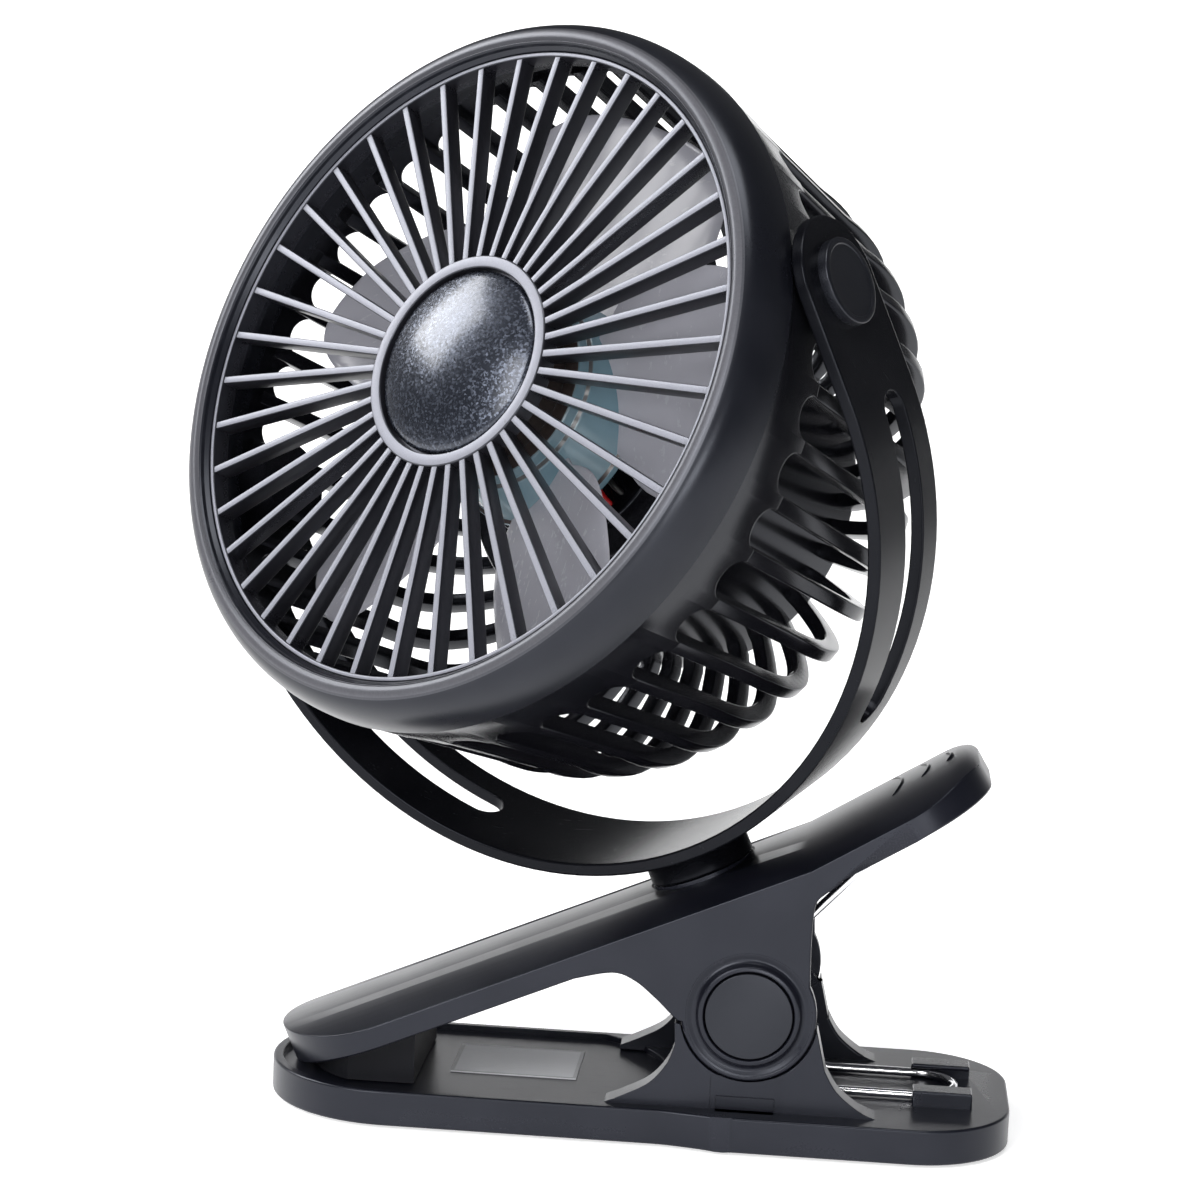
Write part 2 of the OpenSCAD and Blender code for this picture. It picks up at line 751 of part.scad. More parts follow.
module yoke() {
    color([0.15, 0.15, 0.17])
    at_yoke()
    difference() {
        union() {
            translate([0, 0, -arm_l]) rotate([90, 0, 0]) rotate([0, 0, 180])
                rotate_extrude(angle = 180, $fn = 240)
                    translate([yoke_in, -yoke_w / 2]) square([yoke_t, yoke_w]);
            for (s = [0, 180]) rotate([0, 0, s]) {
                translate([yoke_in, -yoke_w / 2, -arm_l]) cube([yoke_t, yoke_w, arm_l]);
                translate([yoke_in, 0, 0]) rotate([0, 90, 0]) cylinder(r = yoke_w / 2, h = yoke_t);
            }
            // collar, reaching up into the band
            translate([0, 0, -arm_l - yoke_out - collar_h])
                cylinder(r = collar_r, h = collar_h + yoke_t - 0.2);
            // stub through the upper jaw
            translate([0, 0, stub_end_v - head_v]) cylinder(r = stub_r, h = collar_v - stub_end_v + 1);
        }
        // pilot for the swivel screw
        translate([0, 0, stub_end_v - head_v - 1]) cylinder(r = big_screw_r, h = 8.5);
        for (s = [0, 180]) rotate([0, 0, s]) {
            translate([yoke_in - 1, 0, 0]) rotate([0, 90, 0]) cylinder(r = pin_r + turn_fit, h = yoke_t + 2);
            translate([well_x, 0, 0]) rotate([0, 90, 0]) cylinder(r = well_r, h = yoke_t);
        }
        // long slots
        for (s = [0, 1]) mirror([s, 0, 0])
            translate([0, slot_back, -arm_l]) rotate([90, 0, 0]) {
                for (a = [slot_start, slot_end]) rotate([0, 0, -a]) translate([yoke_in - 2, 0, 0])
                    rotate([0, 90, 0]) cylinder(r = slot_w / 2, h = yoke_t + 4);
                rotate([0, 0, -slot_end]) rotate_extrude(angle = slot_end - slot_start, $fn = 240)
                    translate([yoke_in - 2, -slot_w / 2]) square([yoke_t + 4, slot_w]);
            }
    }
}

module yoke_caps() {
    color([0.13, 0.13, 0.15])
    at_yoke()
    for (s = [0, 180]) rotate([0, 0, s]) translate([yoke_out, 0, 0]) rotate([0, 90, 0])
        difference() {
            cylinder(r = yoke_cap_r, h = yoke_cap_h);
            translate([0, 0, -1]) cylinder(r = well_r, h = yoke_cap_h + 1 - 0.6);
        }
}

module swivel_washer() {
    color("silver")
    at_neck() translate([0, 0, stub_end_v - swivel_washer_t])
    difference() {
        cylinder(r = stub_r + 2.6, h = swivel_washer_t);
        translate([0, 0, -1]) cylinder(r = big_screw_r + set_fit, h = swivel_washer_t + 2);
    }
}

module swivel_screw() {
    color("silver")
    at_neck() translate([0, 0, stub_end_v - swivel_washer_t]) {
        translate([0, 0, -big_head_h]) cylinder(r = big_head_r, h = big_head_h);
        translate([0, 0, -eps]) cylinder(r = big_screw_r, h = swivel_washer_t + 6.5);
    }
}

// Outer wall of the ring: from its front edge to its widest point.
function ring_wall(n) = [for (i = [0 : n]) let (t = 90 * i / n)
    [ring_front_r + (ring_r - ring_front_r) * pow(sin(t), 0.9),
        joint_z + 1.2 + (ring_front_z - joint_z - 1.2) * pow(cos(t), 0.9)]];

module front_ring() {
    color([0.18, 0.18, 0.2])
    at_fan()
    rotate_extrude($fn = 240)
        polygon(concat(
            [[opening_r, joint_z + 3], [opening_r, grille_z + 0.4],
                [opening_r + 0.9, ring_front_z - 0.6], [opening_r + 1.5, ring_front_z]],
            ring_wall(12),
            [[ring_r, joint_z], [cage_front_r - band_t - set_fit, joint_z],
                [cage_front_r - band_t - set_fit, joint_z - spigot_l],
                [cage_front_r - band_t - set_fit - 1.8, joint_z - spigot_l],
                [cage_front_r - band_t - set_fit - 1.8, joint_z + 3]]));
}

module front_grille() {
    color([0.45, 0.45, 0.5])
    at_fan() {
        for (i = [0 : spoke_n - 1]) rotate([0, 0, spoke_phase + 360 * i / spoke_n])
            translate([hub_ring_r - 1, -spoke_w / 2, grille_z - spoke_d])
                cube([grille_r - grille_rim / 2 - hub_ring_r + 1, spoke_w, spoke_d]);
        difference() {
            translate([0, 0, grille_z - spoke_d]) cylinder(r = grille_r, h = spoke_d + 0.3);
            translate([0, 0, grille_z - spoke_d - 1]) cylinder(r = grille_r - grille_rim, h = spoke_d + 3);
        }
        difference() {
            translate([0, 0, grille_z - spoke_d]) cylinder(r = hub_ring_r, h = spoke_d + 0.3);
            translate([0, 0, grille_back]) cylinder(r = hub_bore_r, h = spoke_d + 1);
        }
    }
}

module hub_cap() {
    dome_ball = (dome_r * dome_r + dome_h * dome_h) / (2 * dome_h);
    dome_swing = asin(dome_r / dome_ball);
    color([0.3, 0.32, 0.38])
    at_fan()
    rotate_extrude()
        polygon(concat(
            [[0, grille_back], [dome_r, grille_back]],
            [for (i = [0 : 15]) let (a = dome_swing * (1 - i / 16))
                [dome_ball * sin(a), dome_z + dome_h - dome_ball + dome_ball * cos(a)]],
            [[0, dome_z + dome_h]]));
}

// Radius of the cage's outside at a place z before the tilt axis.
function cage_at(z) = z > -curve_z ?
    cage_r + (cage_front_r - cage_r) * (z + curve_z) / (joint_z + curve_z) :
    cage_r * pow(1 - pow((-curve_z - z) / curve_depth, 2.6), 1 / 2.6);
rib_stops = [for (t = [0 : 4 : 88]) -curve_z - curve_depth * pow(sin(t), 0.9)];
rib_sink = 0.2;
rib_outside = concat([[cage_at(joint_z - 3) - rib_sink, joint_z - 3]],
    [for (z = rib_stops) if (cage_at(z) > pod_r + 1.5) [cage_at(z) - rib_sink, z]]);
rib_last = rib_outside[len(rib_outside) - 1];
rib_inside = [for (q = rib_outside) if (q[1] < joint_z - 4)
    let (lean = q[1] > -curve_z ? 0 : 90 * pow((-curve_z - q[1]) / curve_depth, 2.2))
    [q[0] - rib_d * cos(lean), q[1] + rib_d * sin(lean)]];

module rib_outline() {
    polygon(concat(
        [[cage_at(joint_z - 3) - band_t + 0.3, joint_z - 3]],
        rib_outside,
        [[pod_r - pod_wall / 2, rib_last[1] - 0.6], [pod_r - pod_wall / 2, rib_last[1] + rib_d]],
        [for (i = [len(rib_inside) - 1 : -1 : 0]) rib_inside[i]],
        [[cage_at(0) - rib_d, 0]]));
}

module cover_screw_places() {
    for (a = [45 : 90 : 315]) rotate([0, 0, a]) translate([cover_pitch_r, 0, 0]) children();
}

module lead_places() {
    for (k = [0, 1]) rotate([0, 0, lead_turn + lead_step * k]) children();
}

module rear_cage() {
    color([0.12, 0.12, 0.13])
    at_fan()
    difference() {
        union() {
            // band behind the ring, its rear edge scalloped between the ribs
            difference() {
                rotate_extrude($fn = 240)
                    polygon([
                        [cage_at(slot_z), slot_z], [cage_front_r, joint_z],
                        [cage_at(slot_z) - band_t, joint_z], [cage_at(slot_z) - band_t, slot_z]]);
                for (i = [0 : rib_n - 1]) rotate([0, 0, rib_phase + 360 * (i + 0.5) / rib_n])
                    translate([cage_r - 8, 0, slot_z]) rotate([0, 90, 0]) cylinder(r = slot_r, h = 16, $fn = 48);
            }
            for (i = [0 : rib_n - 1]) rotate([0, 0, rib_phase + 360 * i / rib_n])
                rotate([90, 0, 0]) linear_extrude(rib_w, center = true) rib_outline();
            // pod for the cell and the board
            translate([0, 0, -pod_rear]) cylinder(r = pod_r, h = pod_rear - pod_shoulder);
            translate([0, 0, -pod_shoulder - eps])
                cylinder(r = housing_r, h = pod_shoulder - housing_front + eps);
            // bosses and pins of the tilt axis
            for (s = [0, 180]) rotate([0, s, 0]) {
                translate([cage_r - rib_d, 0, 0]) rotate([0, 90, 0])
                    cylinder(r = boss_r, h = boss_x - cage_r + rib_d);
                translate([boss_x - 1, 0, 0]) rotate([0, 90, 0]) cylinder(r = pin_r, h = pin_end - boss_x + 1);
            }
        }
        translate([0, 0, -pod_rear - 1])
            difference() {
                cylinder(r = pod_in, h = pod_rear - pod_shoulder - 1);
                translate([0, 0, cover_t + 1]) {
                    // posts under the board and the cover
                    cover_screw_places() translate([0, 0, cover_z - board_z]) cylinder(r = post_r, h = 40);
                    // saddles over the cell
                    for (s = [-1, 1]) translate([s * saddle_x, 0, cover_z - cell_z])
                        difference() {
                            translate([-1, -14, 0]) cube([2, 28, 40]);
                            translate([-2, 0, 0]) rotate([0, 90, 0]) cylinder(r = cell_r + set_fit, h = 4);
                        }
                }
            }
        // seat for the ring's spigot
        translate([0, 0, joint_z - spigot_l - face_gap])
            cylinder(r = cage_front_r - band_t, h = spigot_l + face_gap + 1, $fn = 240);
        translate([0, 0, -pod_shoulder - 2.5])
            cylinder(r = housing_in, h = pod_shoulder + 2.5 - housing_front - housing_wall);
        translate([0, 0, -housing_front - housing_wall - 1]) cylinder(r = mount_r + set_fit, h = housing_wall + 2);
        for (a = [90 : 120 : 330]) rotate([0, 0, a]) translate([mount_screw_r, 0, -housing_front - housing_wall - 1])
            cylinder(r = screw_r + 0.05, h = housing_wall + 0.4);
        lead_places() translate([lead_ring, 0, -housing_front - housing_wall - 1])
            cylinder(r = lead_hole_r, h = housing_wall + 2);
        cover_screw_places() translate([0, 0, -board_z - 1]) cylinder(r = screw_r + 0.05, h = 12);
        for (s = [0, 180]) rotate([0, s, 0]) translate([pin_end - 8, 0, 0]) rotate([0, 90, 0])
            cylinder(r = big_screw_r + 0.05, h = 10);
    }
}

module rear_cover() {
    color([0.15, 0.15, 0.16])
    at_fan()
    difference() {
        union() {
            translate([0, 0, -pod_rear]) cylinder(r = pod_in - 0.2, h = cover_t);
            cover_screw_places() translate([0, 0, -cover_z - eps])
                cylinder(r = post_r, h = cover_z - board_rear + eps);
        }
        cover_screw_places() {
            translate([0, 0, -pod_rear - 1]) cylinder(r = screw_r + set_fit, h = pod_rear);
            translate([0, 0, -pod_rear - 1]) cylinder(r = screw_head_r + 0.2, h = screw_head_h + 1.3);
        }
        translate([0, 0, -pod_rear - 1]) cylinder(r = button_r + set_fit, h = cover_t + 2);
        translate([0, -socket_y, -pod_rear]) cube([socket_w + 0.4, socket_h + 0.4, 20], center = true);
        for (k = [-1, 0, 1]) translate([6 * k, socket_y - 2, -pod_rear - 1])
            cylinder(r = lens_r + set_fit, h = cover_t + 2, $fn = 48);
    }
}

module cover_screws() {
    color("silver")
    at_fan() cover_screw_places() {
        translate([0, 0, -pod_rear + 0.3]) cylinder(r = screw_head_r, h = screw_head_h);
        translate([0, 0, -pod_rear + 0.3]) cylinder(r = screw_r, h = pod_rear - board_z + 9);
    }
}

module charging_socket() {
    color("silver")
    at_fan() translate([0, -socket_y, -(socket_end + board_rear) / 2])
    difference() {
        cube([socket_w, socket_h, socket_end - board_rear], center = true);
        translate([0, 0, -2]) cube([socket_w - 0.8, socket_h - 0.8, socket_end - board_rear], center = true);
    }
}

module indicator_lenses() {
    color([0.5, 0.7, 0.9])
    at_fan() for (k = [-1, 0, 1]) translate([6 * k, socket_y - 2, -pod_rear - 0.2])
        cylinder(r = lens_r, h = pod_rear - board_rear - 0.1, $fn = 48);
}

module circuit_board() {
    color("darkgreen")
    at_fan()
    difference() {
        translate([0, 0, -board_rear]) cylinder(r = pod_in - 1.4, h = board_t);
        cover_screw_places() translate([0, 0, -board_rear - 1]) cylinder(r = screw_r + set_fit, h = board_t + 2);
    }
}

module push_switch() {
    color([0.2, 0.2, 0.2])
    at_fan() translate([0, 0, -board_rear]) {
        translate([-3, -3, -switch_h]) cube([6, 6, switch_h]);
        translate([0, 0, -switch_h - plunger_h]) cylinder(r = 1.7, h = plunger_h + eps);
    }
}

module battery_cell() {
    color("steelblue")
    at_fan() translate([0, 0, -cell_z]) rotate([0, 90, 0]) {
        cylinder(r = cell_r, h = cell_l - 1.2, center = true);
        translate([0, 0, cell_l / 2 - 0.8]) cylinder(r = cell_r / 3, h = 0.8);
    }
}

module motor() {
    color("lightgray")
    at_fan()
    difference() {
        union() {
            translate([0, 0, motor_front - motor_l]) cylinder(r = motor_r, h = motor_l);
            translate([0, 0, motor_front - motor_l - 1.4]) cylinder(r = bearing_r, h = motor_l + 3.4);
        }
        translate([0, 0, motor_front - motor_l - 3]) cylinder(r = shaft_r + turn_fit, h = motor_l + 8);
        for (s = [-1, 1]) translate([s * motor_screw_at, 0, motor_front - 4]) cylinder(r = 0.95, h = 5);
    }
}

module motor_mount() {
    tube_end = housing_front + housing_wall + mount_t;
    color([0.3, 0.3, 0.3])
    at_fan()
    difference() {
        union() {
            translate([0, 0, -tube_end]) cylinder(r = mount_r, h = tube_end + motor_front + mount_t);
            translate([0, 0, -tube_end]) cylinder(r = mount_flange_r, h = mount_t);
        }
        translate([0, 0, -tube_end - 1]) cylinder(r = motor_r + set_fit, h = tube_end + 1 + motor_front);
        cylinder(r = bearing_r + set_fit, h = 10);
        for (s = [-1, 1]) translate([s * motor_screw_at, 0, 0]) cylinder(r = 1.1, h = 10);
        for (a = [90 : 120 : 330]) rotate([0, 0, a]) translate([mount_screw_r, 0, -tube_end - 1])
            cylinder(r = screw_r + set_fit, h = mount_t + 2);
    }
}

module motor_screws() {
    color("silver")
    at_fan() for (s = [-1, 1]) translate([s * motor_screw_at, 0, 0]) {
        translate([0, 0, motor_front + mount_t]) cylinder(r = 1.7, h = 0.9);
        translate([0, 0, motor_front - 3.4]) cylinder(r = 0.9, h = mount_t + 3.4 + eps);
    }
}

module mount_screws() {
    head_z = -housing_front - housing_wall - mount_t;
    color("silver")
    at_fan() for (a = [90 : 120 : 330]) rotate([0, 0, a]) translate([mount_screw_r, 0, head_z]) {
        translate([0, 0, -screw_head_h]) cylinder(r = screw_head_r, h = screw_head_h);
        translate([0, 0, -eps]) cylinder(r = screw_r, h = mount_t + housing_wall - 0.8);
    }
}

// A lead from the motor's mount, over the housing's front, through it and back to the board.
lead_path = [[mount_r + lead_r, -housing_front + 2.6], [lead_ring - 3.4, -housing_front + 2.2],
    [lead_ring - 1.2, -housing_front + 1.6], [lead_ring - 0.2, -housing_front + 0.4],
    [lead_ring, -housing_front - 1.4], [lead_ring, -housing_front - 8],
    [lead_ring, -cell_z], [lead_ring, 0.1 - board_z]];
function lead_side(i) = let (a = lead_path[max(i - 1, 0)], b = lead_path[min(i + 1, len(lead_path) - 1)],
    d = (b - a) / norm(b - a)) [-d[1], 0, d[0]];

module lead(k) {
    at_fan() rotate([0, 0, lead_turn + lead_step * k])
        tube([for (i = [0 : len(lead_path) - 1])
            [[lead_path[i][0], 0, lead_path[i][1]], lead_side(i), [0, 1, 0]]], lead_r, 8);
}

module lead_red() {
    color("red") lead(0);
}

module lead_black() {
    color([0.1, 0.1, 0.1]) lead(1);
}

module tilt_screws() {
    color("silver")
    at_fan() for (s = [0, 180]) rotate([0, s, 0]) translate([pin_end, 0, 0]) rotate([0, 90, 0]) {
        translate([0, 0, tilt_washer_t]) cylinder(r = big_head_r, h = big_head_h);
        translate([0, 0, -7.4]) cylinder(r = big_screw_r, h = 7.4 + tilt_washer_t + eps);
    }
}

module tilt_washers() {
    color("silver")
    at_fan() for (s = [0, 180]) rotate([0, s, 0]) translate([pin_end, 0, 0]) rotate([0, 90, 0])
        difference() {
            cylinder(r = tilt_washer_r, h = tilt_washer_t);
            translate([0, 0, -1]) cylinder(r = big_screw_r + set_fit, h = tilt_washer_t + 2);
        }
}

// Plan of a blade: a rounded paddle and its root in the hub.
module blade_outline() {
    mid = (blade_r + hub_front_r) / 2;
    half_l = blade_r - mid;
    polygon([for (t = [0 : 8 : 352])
        [mid + half_l * sign(cos(t)) * pow(abs(cos(t)), 0.72),
            blade_w / 2 * sign(sin(t)) * pow(abs(sin(t)), 0.72)]]);
    polygon([[hub_front_r - 0.5, -11], [mid, -blade_w / 2 + 0.4], [mid, blade_w / 2 - 0.4],
        [hub_front_r - 0.5, 11]]);
}

module fan_blades() {
    color([0.6, 0.6, 0.64])
    at_fan()
    difference() {
        union() {
            for (i = [0 : blade_n - 1]) rotate([0, 0, blade_phase + 360 * i / blade_n])
                intersection() {
                    translate([0, 0, -20]) linear_extrude(40) blade_outline();
                    translate([0, 0, -blade_mid]) rotate([blade_pitch, 0, 0])
                        translate([0, -blade_w, -blade_t / 2]) cube([blade_r + 5, 2 * blade_w, blade_t]);
                }
            translate([0, 0, hub_rear_z + 1.5])
                cylinder(r1 = hub_rear_r, r2 = hub_front_r, h = hub_l - 1.5);
            translate([0, 0, hub_rear_z]) cylinder(r = flange_r, h = 1.5);
        }
        translate([0, 0, hub_rear_z - 20]) cylinder(r = hub_rear_r - 1.8, h = 20 + eps);
        translate([0, 0, hub_rear_z])
            cylinder(r1 = hub_rear_r - 1.8, r2 = hub_front_r - 1.8, h = hub_web_z - hub_rear_z);
        difference() {
            translate([0, 0, hub_front_z - hub_dish]) cylinder(r = hub_front_r - 3.8, h = 5);
            cylinder(r = 3.4, h = 20);
        }
        translate([0, 0, hub_front_z + 1.2]) cylinder(r = 3.5, h = 5);
        cylinder(r = shaft_r, h = hub_front_z - 0.2);
    }
    at_fan() difference() {
        translate([0, 0, hub_web_z + 1]) cylinder(r = 3.4, h = hub_front_z + 0.2 - hub_web_z);
        cylinder(r = shaft_r, h = hub_front_z - 0.2);
    }
}

module motor_shaft() {
    color("silver")
    at_fan() translate([0, 0, motor_front - motor_l - 1])
        cylinder(r = shaft_r, h = hub_front_z - 0.4 + motor_l + 1 - motor_front);
}

module power_button() {
    color([0.25, 0.25, 0.27])
    at_fan() {
        translate([0, 0, -pod_rear - 1.4]) cylinder(r = button_r, h = 1.4 + cover_t + 0.4);
        translate([0, 0, -cover_z + 0.2]) cylinder(r = button_r + 1.2, h = 1);
        translate([0, 0, -cover_z + 0.2]) cylinder(r = 2, h = cover_z - 0.2 - stem_end);
    }
}

base_tray();
base_plate();
base_screws();
foot_pad();
label_plate();
pivot_axle();
pivot_caps();
clip_spring();
spring_arms();
upper_jaw();
jaw_pad();
friction_washer();
yoke();
yoke_caps();
swivel_screw();
swivel_washer();
front_ring();
front_grille();
hub_cap();
rear_cage();
rear_cover();
cover_screws();
charging_socket();
indicator_lenses();
circuit_board();
push_switch();
battery_cell();
motor();
motor_mount();
motor_screws();
mount_screws();
lead_red();
lead_black();
tilt_screws();
tilt_washers();
fan_blades();
motor_shaft();
power_button();
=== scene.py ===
from math import acos, asin, atan2, cos, hypot, pi, radians, sin, sqrt, tan

import bmesh
import bpy
from mathutils import Matrix, Vector


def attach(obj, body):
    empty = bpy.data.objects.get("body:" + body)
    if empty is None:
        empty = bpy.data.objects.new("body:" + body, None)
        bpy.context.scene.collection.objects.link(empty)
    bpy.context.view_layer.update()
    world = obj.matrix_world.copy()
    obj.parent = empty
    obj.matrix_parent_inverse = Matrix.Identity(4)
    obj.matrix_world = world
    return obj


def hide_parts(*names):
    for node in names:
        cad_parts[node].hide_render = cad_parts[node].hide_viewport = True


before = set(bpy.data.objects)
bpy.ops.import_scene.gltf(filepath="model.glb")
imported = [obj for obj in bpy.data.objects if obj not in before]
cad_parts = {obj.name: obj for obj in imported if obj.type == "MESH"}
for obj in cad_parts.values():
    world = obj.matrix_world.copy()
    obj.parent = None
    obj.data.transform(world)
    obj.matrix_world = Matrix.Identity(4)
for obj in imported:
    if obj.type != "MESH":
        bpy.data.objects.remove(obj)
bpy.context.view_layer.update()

scene = bpy.context.scene


# ---- Lower jaw tray --------------------------------------------------------------
# The tray that stands on the table, with its recess, raised deck and hinge lugs.
# Injection moulded in black ABS with a fine satin skin; the mould eases its outer edges.

class Amount:
    """A number that varies over a surface or along a pattern. Sums on it add Math nodes."""

    def __init__(self, recipe, socket):
        self.recipe, self.socket = recipe, socket

    def sum(self, operation, first, second):
        return self.recipe.node("ShaderNodeMath", {"operation": operation}, {0: first, 1: second})

    def __add__(self, other):
        return self.sum("ADD", self, other)

    def __radd__(self, other):
        return self.sum("ADD", other, self)

    def __sub__(self, other):
        return self.sum("SUBTRACT", self, other)

    def __rsub__(self, other):
        return self.sum("SUBTRACT", other, self)

    def __mul__(self, other):
        return self.sum("MULTIPLY", self, other)

    def __rmul__(self, other):
        return self.sum("MULTIPLY", other, self)

    def __truediv__(self, other):
        return self.sum("DIVIDE", self, other)

    def __rtruediv__(self, other):
        return self.sum("DIVIDE", other, self)

    def at(self, name):
        """Another output of the same node."""
        return Amount(self.recipe, self.socket.node.outputs[name])


class Recipe:
    """Adds nodes to a material or to a geometry tree."""

    def __init__(self, tree):
        self.tree = tree

    def node(self, kind, settings=None, sockets=None, out=0):
        """Adds one node. Its settings come first, then the value or link of each socket."""
        made = self.tree.nodes.new(kind)
        for key, value in (settings or {}).items():
            setattr(made, key, value)
        for key, value in (sockets or {}).items():
            if isinstance(value, Amount):
                self.tree.links.new(value.socket, made.inputs[key])
            else:
                made.inputs[key].default_value = value
        return Amount(self, made.outputs[out])

    def noise(self, spot, size, detail=2.0, roughness=0.5):
        return self.node("ShaderNodeTexNoise", None,
                         {"Vector": spot, "Scale": 1 / size, "Detail": detail, "Roughness": roughness})

    def stretched(self, spot, scale):
        return self.node("ShaderNodeMapping", None, {"Vector": spot, "Scale": scale})

    def band(self, value, low, high, start=0.0, end=1.0):
        return self.node("ShaderNodeMapRange", {"interpolation_type": "SMOOTHSTEP"},
                         {0: value, 1: low, 2: high, 3: start, 4: end})

    def blend(self, share, first, second):
        return self.node("ShaderNodeMix", {"data_type": "RGBA"}, {0: share, 6: first, 7: second}, 2)

    def surface(self, sockets):
        """Ends a material's tree in one Principled surface."""
        finish = self.node("ShaderNodeBsdfPrincipled", None, sockets)
        end = self.tree.nodes.new("ShaderNodeOutputMaterial")
        self.tree.links.new(finish.socket, end.inputs["Surface"])


def new_finish(name):
    """A material with an empty tree. Returns it, its recipe and the place on the piece."""
    material = bpy.data.materials.new(name)
    material.use_nodes = True
    mix = Recipe(material.node_tree)
    mix.tree.nodes.clear()
    return material, mix, mix.node("ShaderNodeTexCoord", out="Object")


def skin(name, colour, shine, grain=0.00045, depth=0.012, tint=None, haze=0.07, coat=0.0, level=0.5,
         metal=0.0, edge=0.35, sheen=(1, 1, 1), face=None):
    """A moulded or painted skin: fine grain, slow clouding of the gloss, and edges a little glossier, with a
    painted highlight lightening their colour.
    A facing colour, given as its way and two colours, lies only on faces turned that way."""
    cloud_size, scuff_size, scuff_stretch = 0.018, 0.006, (1, 6, 1.5)
    material, mix, spot = new_finish(name)
    cloud = mix.noise(spot, cloud_size, 3.0)
    pores = mix.noise(spot, grain, 2.0, 0.6)
    scuff = mix.noise(mix.stretched(spot, scuff_stretch), scuff_size, 4.0, 0.7)
    # Pointed places, the edges, get glossier and lighter in colour; the lighter colour is a painted
    # highlight.
    edge_highlight = mix.band(mix.node("ShaderNodeNewGeometry", out="Pointiness"), 0.52, 0.62)
    dark = (*colour, 1)
    pale = (*(tint or [min(1, c * 1.5 + 0.004) for c in colour]), 1)
    tone_and_highlight = mix.blend(mix.band(cloud, 0.35, 0.7) * 0.5 + edge_highlight * edge, dark, pale)
    if face:
        way, first, second = face
        along = mix.node("ShaderNodeVectorMath", {"operation": "DOT_PRODUCT"}, {
            0: mix.node("ShaderNodeNewGeometry", out="True Normal"), 1: way}, "Value")
        paint = mix.blend(pores, (*first, 1), (*second, 1))
        tone_and_highlight = mix.blend(mix.band(along, 0.8, 0.95), tone_and_highlight, paint)
    rough = shine + haze * (cloud - 0.5) + 0.05 * (pores - 0.5)
    rough = rough + 0.06 * mix.band(scuff, 0.55, 0.8) - 0.05 * edge_highlight
    bump = mix.node("ShaderNodeBump", None, {"Height": pores, "Strength": 0.35, "Distance": depth * 0.001})
    sockets = {"Base Color": tone_and_highlight, "Roughness": rough, "Normal": bump, "Metallic": metal,
               "Specular IOR Level": level, "Specular Tint": (*sheen, 1)}
    if coat:
        sockets.update({"Coat Weight": coat, "Coat Roughness": 0.12})
    mix.surface(sockets)
    return material


def show(name, mesh, body, slot, *stands_for):
    """Puts a finished mesh in the scene, riding on its body in place of the solids it stands for."""
    piece = bpy.data.objects.new(name, mesh)
    scene.collection.objects.link(piece)
    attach(piece, body)
    if stands_for:
        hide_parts(*stands_for)


def baked(name, mesh, material, steps):
    """Runs the given modifiers on a mesh once and gives back the plain result."""
    block = bpy.data.objects.new(name, mesh)
    scene.collection.objects.link(block)
    for kind, settings in steps:
        step = block.modifiers.new(kind, kind)
        for key, value in settings.items():
            setattr(step, key, value)
    result = bpy.data.meshes.new_from_object(block.evaluated_get(bpy.context.evaluated_depsgraph_get()))
    bpy.data.objects.remove(block)
    result.name = name
    result.materials.clear()
    result.materials.append(material)
    result.shade_smooth()
    return result


def solid_copy(node):
    """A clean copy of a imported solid's mesh, its triangles joined and its flats made whole."""
    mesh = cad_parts[node].data.copy()
    work = bmesh.new()
    work.from_mesh(mesh)
    bmesh.ops.remove_doubles(work, verts=work.verts, dist=2e-6)
    bmesh.ops.dissolve_degenerate(work, edges=work.edges, dist=1e-6)
    bmesh.ops.dissolve_limit(work, angle_limit=radians(0.6), verts=work.verts, edges=work.edges)
    for face in work.faces:
        face.smooth = True
    work.to_mesh(mesh)
    work.free()
    for key in [a.name for a in mesh.attributes if a.name == "custom_normal"]:
        mesh.attributes.remove(mesh.attributes[key])
    return mesh


def faced_out(mesh):
    """Turns all faces of a closed mesh outwards."""
    work = bmesh.new()
    work.from_mesh(mesh)
    bmesh.ops.recalc_face_normals(work, faces=work.faces)
    work.to_mesh(mesh)
    work.free()


def edge_room(sharp, most):
    """How far each sharp edge can be rounded into the faces beside it. Edges without room are left
    out, and edges that meet share the smallest room, so that a rounding runs on at one width."""
    side_share, farthest, thinnest, in_line = 0.42, 0.003, 0.00015, radians(150)
    least = {vert: most for edge in sharp for vert in edge.verts}
    for edge in sharp:
        for loop in edge.link_loops:
            after = loop.link_loop_next
            for near, side in ((loop.vert, loop.link_loop_prev.edge), (after.vert, after.edge)):
                way = side.other_vert(near).co - near.co
                turn = way.angle(edge.other_vert(near).co - near.co, pi)
                if turn < in_line:
                    free = min(side_share * way.length, farthest) * sin(turn)
                    for vert in edge.verts:
                        least[vert] = min(least[vert], free)
    room = {edge: min(least[vert] for vert in edge.verts) for edge in sharp}
    room = {edge: free for edge, free in room.items() if free > thinnest}
    joints = {}
    for edge in room:
        for vert in edge.verts:
            joints.setdefault(vert, []).append(edge)
    settled = False
    while not settled:
        settled = True
        for run in joints.values():
            if len({room[edge] for edge in run}) > 1:
                smallest = min(room[edge] for edge in run)
                for edge in run:
                    room[edge] = smallest
                settled = False
    return room


